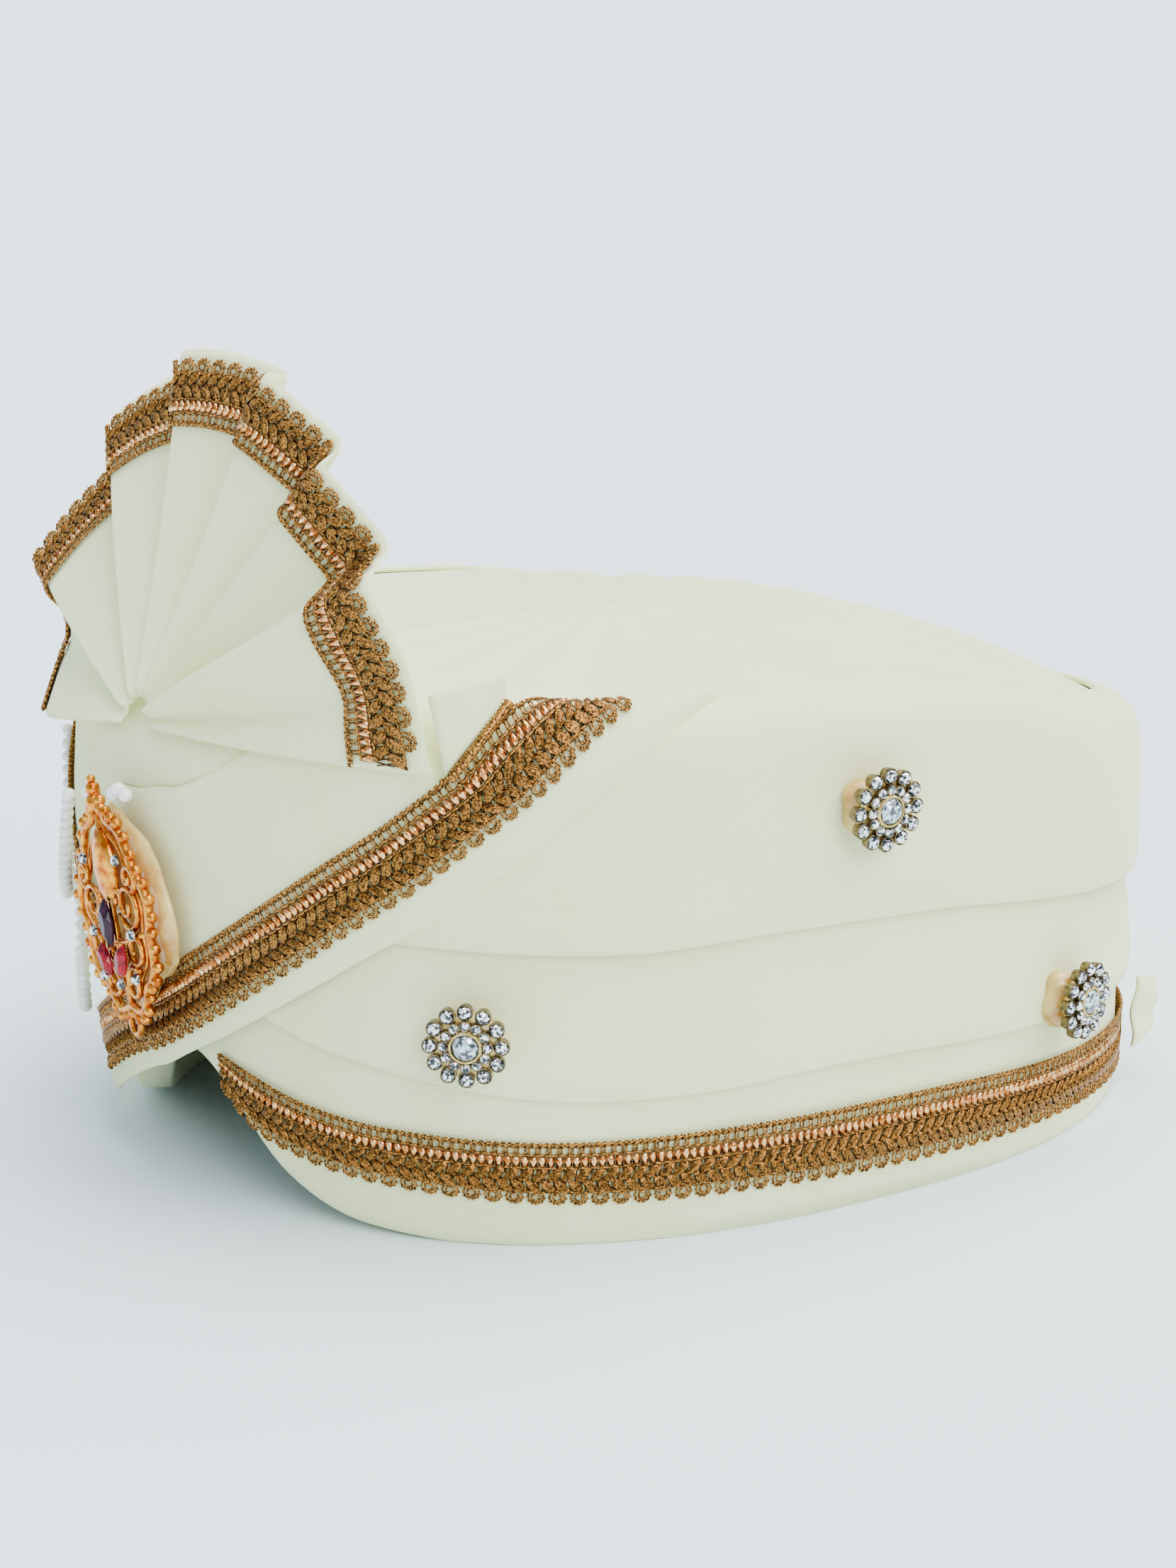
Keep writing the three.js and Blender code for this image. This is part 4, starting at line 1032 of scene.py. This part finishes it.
# centre, size, start angle, turns of the scrolls of one half; the other half mirrors them
SCROLLS = [(9.5, 2.5, 6.4, 200, 1.5), (10.2, -7.5, 5.2, 120, 1.4), (6.0, -16.5, 4.6, 40, 1.4),
           (12.6, 9.2, 3.6, 260, 1.3), (3.0, -9.2, 3.0, 90, 1.2), (3.4, 4.0, 3.0, 300, 1.2)]
for x, y, size, start, turns in SCROLLS:
    castings.append(scroll(x, y, size, start, turns, 1))
    castings.append(scroll(-x, y, size, 180 - start, turns, -1))
boss = lathe([(0.02, 2.6), (2.2, 2.4), (4.6, 1.5), (5.4, 0.4), (5.2, -0.4)], 24, (1.0, 1.75))
castings.append(moved(boss, 0, 11.5, 0.3))
# place and radius of the balls of the finial
FINIAL = [(0, 26.8, 2.3), (0, 30.0, 1.8), (0, 32.3, 1.1), (2.6, 25.2, 1.5), (-2.6, 25.2, 1.5)]
castings += [ball(x, y, 0.3, radius) for x, y, radius in FINIAL]
loop_angle = 2 * np.pi * np.arange(20) / 20
loop = np.stack([2.6 * np.cos(loop_angle), -26.4 + 2.6 * np.sin(loop_angle), 0 * loop_angle], 1)
castings.append(tube(loop, 0.8, 6, True))
UPRIGHT = [(0, -23, 0), (0, -12, 0.6), (0, 0, 0.8), (0, 14, 0.6), (0, 24, 0.2)]
CROSSBAR = [(-15.5, -4, 0), (-7, -6, 0.5), (0, -6.5, 0.7), (7, -6, 0.5), (15.5, -4, 0)]
castings += [tube(UPRIGHT, 0.9, 6), tube(CROSSBAR, 0.9, 6)]
bead_source = solid("brooch bead", ball(0, 0, 0, 1.0), CAST, placed=False)
bead_places = leaf_outline(2 * np.pi * np.arange(40) / 40, 20.2, 25.0)
path_source = object_of(mesh_of("brooch outline", bead_places, [], CAST, placed=False))
bead_tree, bead_in, bead_out = new_tree("beaded edge", [("Outline", "NodeSocketObject"),
                                                        ("Bead size", "NodeSocketFloat")])
edge = add(bead_tree, "GeometryNodeObjectInfo", {"Object": bead_in.outputs["Outline"]})
edge_beads = copies(bead_tree, edge.outputs["Geometry"], bead_source,
                    Scale=bead_in.outputs["Bead size"])
finish_branch(bead_tree, edge_beads, CAST, bead_out.inputs[0])
bead_mesh = bake(bead_tree, {"Outline": path_source, "Bead size": 1.45})
bead_part = (points_of(bead_mesh), [list(p.vertices) for p in bead_mesh.polygons])
for made in (bead_source, path_source):
    bpy.data.objects.remove(made)
points, faces = together(castings + [bead_part])
brooch = solid("brooch_casting", (on_brooch(points), faces), CAST)
dress(brooch, "cast_gold", "brooch")

# %% Brooch stones and glue
def set_stone(name, x, y, wide, tall, turn, material, slot):
    """A pointed oval stone."""
    points, faces = cut_stone(wide, 1.9, 12, tall / wide)
    points[:, 0] *= 1 - 0.35 * (np.abs(points[:, 1]) / tall) ** 2
    points, faces = moved((points, faces), x, y, 2.3, turn)
    stone = solid(name, (on_brooch(points), faces), material, smooth=False)
    dress(stone, slot, "brooch_" + name)


set_stone("violet_stone", 0, -1.5, 2.5, 5.6, 0, VIOLET, "violet_stone")
set_stone("red_stone_left", 4.6, -10.5, 2.1, 4.2, -24, RED, "red_stone")
set_stone("red_stone_right", -4.6, -10.5, 2.1, 4.2, 24, RED, "red_stone")
CLEAR_STONES = [(9.5, 13.4), (-9.5, 13.4), (11.0, -4.2), (-11.0, -4.2), (0, -16.5), (9.2, -14.8),
                (-9.2, -14.8)]
points, faces = together([moved(cut_stone(1.5, 1.2, 8), x, y, 1.6) for x, y in CLEAR_STONES])
dress(solid("brooch_clear_stones", (on_brooch(points), faces), STONE, smooth=False), "pale_gold")
LOOSE_BEADS = [(7.0, 28.5), (10.6, 29.6), (14.0, 28.2), (-7.5, 28.8)]
points, faces = together([ball(x, y, -1.6, 1.7) for x, y in LOOSE_BEADS])
dress(solid("brooch_top_beads", (on_brooch(points), faces), PEARL), "pearl")
glue_base = BROOCH_PLACE + np.array([1.5, 4.6, 1.5])
brooch_glue = blob("brooch_glue_drop", glue_base, BROOCH_AXES, 2, wide=16.5, tall=20.5, deep=3.4,
                   lean=1.5)
dress(brooch_glue, "amber_glue", "brooch_glue")

# %% [markdown]
# ## Pearl strings
# Two strings of beads hang from the brooch round the wearer's right. The beads touch, so a tree
# sets one at each step of the string's length.

# %% Pearls
PEARL_SIZE = 3.1
# angle from the front, height, distance outside the wall
SHORT_SWAG = [(-9, 82, 9.9), (-16, 64, 9.9), (-24, 52, 9.9), (-32, 60, 9.9), (-38, 84, 10)]
LONG_SWAG = [(-10, 46, 11), (-14, 36, 10), (-21, 27, 9), (-29, 35, 9), (-36, 58, 9.9), (-44, 88, 10)]
PEARL_PROFILE = [(0.25, -1.52), (0.9, -1.25), (1.4, -0.6), (1.55, 0), (1.4, 0.6), (0.9, 1.25),
                 (0.25, 1.52)]
pearl_source = solid("pearl", lathe(PEARL_PROFILE, 12), PEARL, placed=False)
pearl_tree, pearl_in, pearl_out = new_tree("pearl string", [("String", "NodeSocketObject"),
                                                            ("Bead size", "NodeSocketFloat")])
string = add(pearl_tree, "GeometryNodeObjectInfo", {"Object": pearl_in.outputs["String"]})
curve = add(pearl_tree, "GeometryNodeMeshToCurve", {0: string.outputs["Geometry"]})
spots = add(pearl_tree, "GeometryNodeCurveToPoints",
            {0: curve.outputs[0], "Length": pearl_in.outputs["Bead size"]}, mode="LENGTH")
pearls = copies(pearl_tree, spots.outputs["Points"], pearl_source, Rotation=spots.outputs["Rotation"])
finish_branch(pearl_tree, pearls, PEARL, pearl_out.inputs[0])


def through(rows, count=80):
    """A smooth line through a few places on the wall."""
    keys = [(k, *row) for k, row in enumerate(rows)]
    at = np.linspace(0, len(rows) - 1, count)
    return wall(read(keys, 1, at), read(keys, 2, at), read(keys, 3, at))


for name, rows in (("short_pearl_string", SHORT_SWAG), ("long_pearl_string", LONG_SWAG)):
    line_points = (through(rows) + ROW_SHIFT) * MM
    steps = [(k, k + 1) for k in range(len(line_points) - 1)]
    guide_mesh = bpy.data.meshes.new(name)
    guide_mesh.from_pydata(line_points.tolist(), steps, [])
    guide = object_of(guide_mesh)
    mesh = bake(pearl_tree, {"String": guide, "Bead size": PEARL_SIZE * MM})
    mesh.name = name + "_beads"
    mesh.shade_smooth()
    bpy.data.objects.remove(guide)
    dress(object_of(mesh), "pearl", name)
bpy.data.objects.remove(pearl_source)

# %% [markdown]
# ## Loose ends
# The last corner of the fan is folded back, with its lace seen edge on, and an end of cloth is
# pulled through at the back.

# %% Turned corner and cloth tail
CORNER_SPAN = 12.0  # degrees of the hem that are turned back
CORNER_COUNT = 14
CORNER_TIP, CORNER_RISE = np.array([1, 15, 14]), np.array([0, 0, 5])
corner = fan_point(FAN_END, 1.0)
across = np.linspace(0, 1, CORNER_COUNT)[:, None, None]
upward = np.linspace(0, 1, CORNER_COUNT)[None, :, None]
inner_edge = mix(corner, fan_point(FAN_END - CORNER_SPAN, 1.0), upward) + np.array([0.4, 1.6, 0])
outer_edge = corner + CORNER_TIP + upward * CORNER_RISE
bulge = np.sin(np.pi * across) * np.array([1.0, 0, 0.6])
ear_grid = mix(inner_edge, outer_edge, across) + bulge
ear = cloth_wall("fan_corner_cloth", ear_grid, np.array([1, 0, 0.3]), thick=1.2)
dress(ear, "cream_cloth", "fan_corner")
# the lace on its hidden side shows edge on, as a row of loops along the fold
LOOP_STEPS = 60
along_fold = np.linspace(0, CORNER_COUNT - 1, LOOP_STEPS)
edge_path = np.stack([np.interp(along_fold, np.arange(CORNER_COUNT), ear_grid[:, 0, k])
                      for k in range(3)], 1)
loops = 0.85 + 0.3 * np.abs(np.sin(np.arange(LOOP_STEPS) * 1.1))
edge_part = tube(edge_path + np.array([0.5, 0.3, -0.6]), loops, 8)
dress(solid("fan_corner_lace_edge", edge_part, THREAD), "gold_lace")
TAIL_ANGLE, TAIL_LOW, TAIL_HIGH, TAIL_OUT = 140, 9, 27, 4.4
tail_i = np.linspace(0, 3, 24)[:, None]
tail_t = ends_dense(20)[None, :]
tail_grid = wall(TAIL_ANGLE + tail_i * 2.6,
                 mix(TAIL_LOW + tail_i, TAIL_HIGH - tail_i * 1.2, tail_t),
                 TAIL_OUT + tail_i * 1.7 + 0.5 * np.sin(9 * tail_t + tail_i))
tail = cloth_wall("cloth_tail_end", tail_grid, radial(tail_grid), thick=1.4)
dress(tail, "cream_cloth", "cloth_tail")

# %% [markdown]
# ## Floor, light and camera
# The picture has a pale floor that runs on into its background, and very soft light: a bluish sky
# and two wide suns. The floor reaches far out, and the sky seen behind it takes its tone. The
# camera stands at the picture's angle: 57 degrees round from the front and 13.5 degrees up.

# %% Floor
FLOOR_COLOUR, FLOOR_HALF = "dfecf2", 90  # metres, so that its edge is lost in the distance
floor_mesh = bpy.data.meshes.new("floor")
floor_corners = [(x * FLOOR_HALF, y * FLOOR_HALF, 0) for x, y in ((-1, -1), (1, -1), (1, 1), (-1, 1))]
floor_mesh.from_pydata(floor_corners, [], [[0, 1, 2, 3]])
floor_finish, _, _ = finish("pale studio floor", Roughness=0.9, Specular_IOR_Level=0.0,
                            Base_Color=linear(FLOOR_COLOUR))
floor_mesh.materials.append(floor_finish)
object_of(floor_mesh)

# %% Light
world = bpy.data.worlds.new("studio")
bpy.context.scene.world = world
world.use_nodes = True
SKY, SKY_STRENGTH = "d3e8f2", 1.2
# name, direction it comes from, width of the disc in degrees, strength
SUNS = [("overhead light", (0.1, 0.35, 1.0), 70, 6.8), ("side light", (1.2, -0.2, 0.7), 30, 2.2)]
sky = world.node_tree.nodes["Background"]
sky.inputs["Color"].default_value = linear(SKY)
sky.inputs["Strength"].default_value = SKY_STRENGTH
floor_light = np.array(linear(SKY)) * SKY_STRENGTH
for name, direction, width, strength in SUNS:
    data = bpy.data.lights.new(name, "SUN")
    data.angle, data.energy = math.radians(width), strength
    lamp = object_of(data)
    lamp.rotation_euler = Vector(direction).to_track_quat("Z", "Y").to_euler()
    floor_light += strength / math.pi * Vector(direction).normalized().z
# seen straight on, the sky has the tone of the distant floor, so no horizon shows
floor_tone = list(floor_light * linear(FLOOR_COLOUR))
seen = add(world.node_tree, "ShaderNodeBackground", {"Color": floor_tone})
path = add(world.node_tree, "ShaderNodeLightPath")
both = add(world.node_tree, "ShaderNodeMixShader", {0: path.outputs["Is Camera Ray"],
                                                    1: sky.outputs[0], 2: seen.outputs[0]})
world.node_tree.links.new(both.outputs[0], world.node_tree.nodes["World Output"].inputs["Surface"])

# %% Camera
AZIMUTH, ELEVATION, DISTANCE = math.radians(57), math.radians(13.5), 732.0
AIM_ASIDE, AIM_HEIGHT = -5.7, 72.4
back = np.array([math.sin(AZIMUTH) * math.cos(ELEVATION),
                 -math.cos(AZIMUTH) * math.cos(ELEVATION), math.sin(ELEVATION)])
right = np.array([math.cos(AZIMUTH), math.sin(AZIMUTH), 0])
camera_data = bpy.data.cameras.new("photo camera")
camera_data.sensor_width, camera_data.lens = 36, 72.42
camera = object_of(camera_data)
aim = AIM_ASIDE * right + np.array([0, 0, AIM_HEIGHT])
camera.location = (aim + DISTANCE * back + ROW_SHIFT) * MM
camera.rotation_euler = Vector(-back).to_track_quat("-Z", "Y").to_euler()
bpy.context.scene.camera = camera
